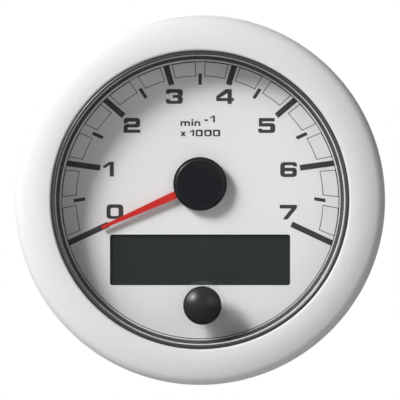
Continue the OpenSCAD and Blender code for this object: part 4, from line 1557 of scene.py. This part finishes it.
@dataclass
class PointerCap:
    """Hollow cap on the pointer, with softly broken edges on its bevel."""

    up: float = 4.5
    radius: float = 7.55
    low: float = -0.9
    top: float = 2.2
    bevel: float = 0.8
    round_r: float = 0.5
    wall: float = 0.8
    bore: float = 1.0
    hub_r: float = 2.4
    hub_low: float = 0.35
    notch_long: float = 4.0
    notch_wide: float = 2.6
    notch_high: float = 0.45
    notch_below: float = 0.5
    arm_angle: float = 204.0

    def shell(self) -> bpy.types.Object:
        """Spin the cap's section.

        Returns:
            The cap, still without its notch.
        """
        roof = self.top - self.wall
        inner = self.radius - self.wall
        section = rounded([
            (0.0, self.top), (0.0, roof), (self.bore, roof), (self.bore, self.hub_low),
            (self.hub_r, self.hub_low), (self.hub_r, roof), (inner, roof), (inner, self.low),
            (self.radius, self.low), (self.radius, self.top - self.bevel, self.round_r),
            (self.radius - self.bevel, self.top, self.round_r),
        ])
        return lathe("cap_shell", section, (0.0, self.up))

    def notch(self) -> bpy.types.Object:
        """Make the block that cuts the notch for the arm.

        Returns:
            The block, where the arm lies at rest.
        """
        near, far = self.radius - self.notch_long / 2, self.radius + self.notch_long / 2
        half = self.notch_wide / 2
        outline = [(near, -half), (far, -half), (far, half), (near, half)]
        block = sheet_of("notch", [outline], self.low - self.notch_below, self.notch_high)
        pick(block)
        turn_round(-math.radians(self.arm_angle))
        bpy.ops.transform.translate(value=(0.0, 0.0, self.up * MM))
        bpy.ops.object.transform_apply(location=True, rotation=True)
        return block

    def on_edge(self, spot: Vector) -> bool:
        """Tell whether a face lies on the rounding between top and bevel.

        Args:
            spot: the face's centre, in metres

        Returns:
            True where it does.
        """
        from_axis = (spot - place(0.0, self.up, 0.0)) * Vector((1.0, 0.0, 1.0))
        away, height = from_axis.length / MM, -spot.y / MM
        flat = self.radius - self.bevel - self.round_r / 2
        return flat < away < flat + self.round_r and height > self.top - self.bevel / 2

    def build(self) -> None:
        """Make the cap, cut its notch and burnish its rounding."""
        cap = self.shell()
        work_in(cap, self.notch(), Join.CUT)
        fit_out(cap, CAP_BLACK, "cap_black", Body.POINTER, "pointer_cap")
        refinish(cap, CAP_EDGE, self.on_edge)


@dataclass
class Housing:
    """Threaded cup behind the panel, and the ring nut that runs on it."""

    thread: Thread = Thread(root_r=41.05, crest_r=41.95, pitch=4.0, low=-32.5, high=-3.05)
    nut_low: float = -21.6
    nut_high: float = -11.67
    nut_minor: float = 41.3
    nut_into: float = 43.4
    thread_play: float = 0.18

    def barrel(self) -> None:
        """Cut the thread into the housing."""
        housing = copy_of("housing", "housing_shell")
        work_in(housing, self.thread.cutter(), Join.CUT)
        fit_out(housing, HOUSING_BLACK, "housing_black", Body.FIXED, "housing")

    def nut(self) -> None:
        """Line the ring nut with the thread that runs in the housing's grooves."""
        nut = copy_of("spinlock_nut", "ring_nut")
        section = ring(self.nut_minor, self.nut_into, self.nut_low, self.nut_high)
        lining = lathe("lining", section, steps=self.thread.steps)
        work_in(lining, self.thread.rod(self.thread_play), Join.CUT)
        work_in(nut, lining, Join.ADD)
        fit_out(nut, NUT_BLACK, "nut_black", Body.NUT, "spinlock_nut")

    def build(self) -> None:
        """Build the housing and its nut."""
        self.barrel()
        self.nut()


@dataclass
class BusSocket:
    """Round socket on the back wall, with its fine coupling thread."""

    thread: Thread = Thread(
        root_r=5.42, crest_r=5.97, pitch=1.0, low=-45.0, high=-36.2, centre=(0.0, 15.0)
    )

    def build(self) -> None:
        """Cut the coupling thread into the socket."""
        socket = copy_of("bus_socket", "bus_shell")
        work_in(socket, self.thread.cutter(), Join.CUT)
        fit_out(socket, NICKEL, "nickel", Body.FIXED, "bus_socket")


@dataclass
class Button:
    """Domed press button: skin, skirt and the stem that reaches the switch."""

    centre: Point = (0.65, -29.65)
    radius: float = 5.42
    top: float = 9.998
    dome_r: float = 7.8
    dome_from: float = 3.0
    dome_steps: int = 20
    # How far each corner of the softened edge lies inside the rim and below it
    edge: tuple[Point, ...] = ((0.0, 0.6), (0.03, 0.3), (0.12, 0.02))
    low: float = 4.3
    wall: float = 0.8
    stem_r: float = 3.6
    stem_low: float = -3.7
    flange_r: float = 3.95
    flange_low: float = -3.2
    flange_high: float = -2.4
    steps: int = 96

    def build(self) -> None:
        """Spin the button's whole section."""
        hub = (0.0, self.top - self.dome_r)
        lean = math.degrees(math.acos(self.radius / self.dome_r))
        rim = hub[1] + self.dome_r * math.sin(math.radians(lean))
        inside, under = self.radius - self.wall, rim - self.wall
        section = [
            (0.0, self.stem_low), (self.stem_r, self.stem_low),
            (self.stem_r, self.flange_low), (self.flange_r, self.flange_low),
            (self.flange_r, self.flange_high), (self.stem_r, self.flange_high),
            (self.stem_r, under), (inside, under), (inside, self.low),
            (self.radius, self.low),
            *[(self.radius - inward, rim - below) for inward, below in self.edge],
            *arc(hub, self.dome_r, lean + self.dome_from, 90.0, self.dome_steps),
        ]
        button = lathe("button_skin", section, self.centre, self.steps)
        fit_out(button, BUTTON_SKIN, "button_black", Body.BUTTON, "button_cap")


def dress_nodes() -> None:
    """Give every CAD node the finish of its material slot."""
    for part in frame["record"]["subparts"]:
        node = frame["nodes"][part["node"]]
        node.data.materials.clear()
        node.data.materials.append(FINISHES[part["material_slot"]].material())
    log.info("CAD nodes dressed: %d", len(frame["nodes"]))


def main() -> None:
    """Build the scene in order."""
    logging.basicConfig(level=logging.INFO, format="%(name)s: %(message)s")
    Studio().build()
    dress_nodes()
    DialPrint().build()
    Bezel().build()
    LensSeal().build()
    PointerCap().build()
    Housing().build()
    BusSocket().build()
    Button().build()
    nothing_selected()


if __name__ == "__main__":
    main()
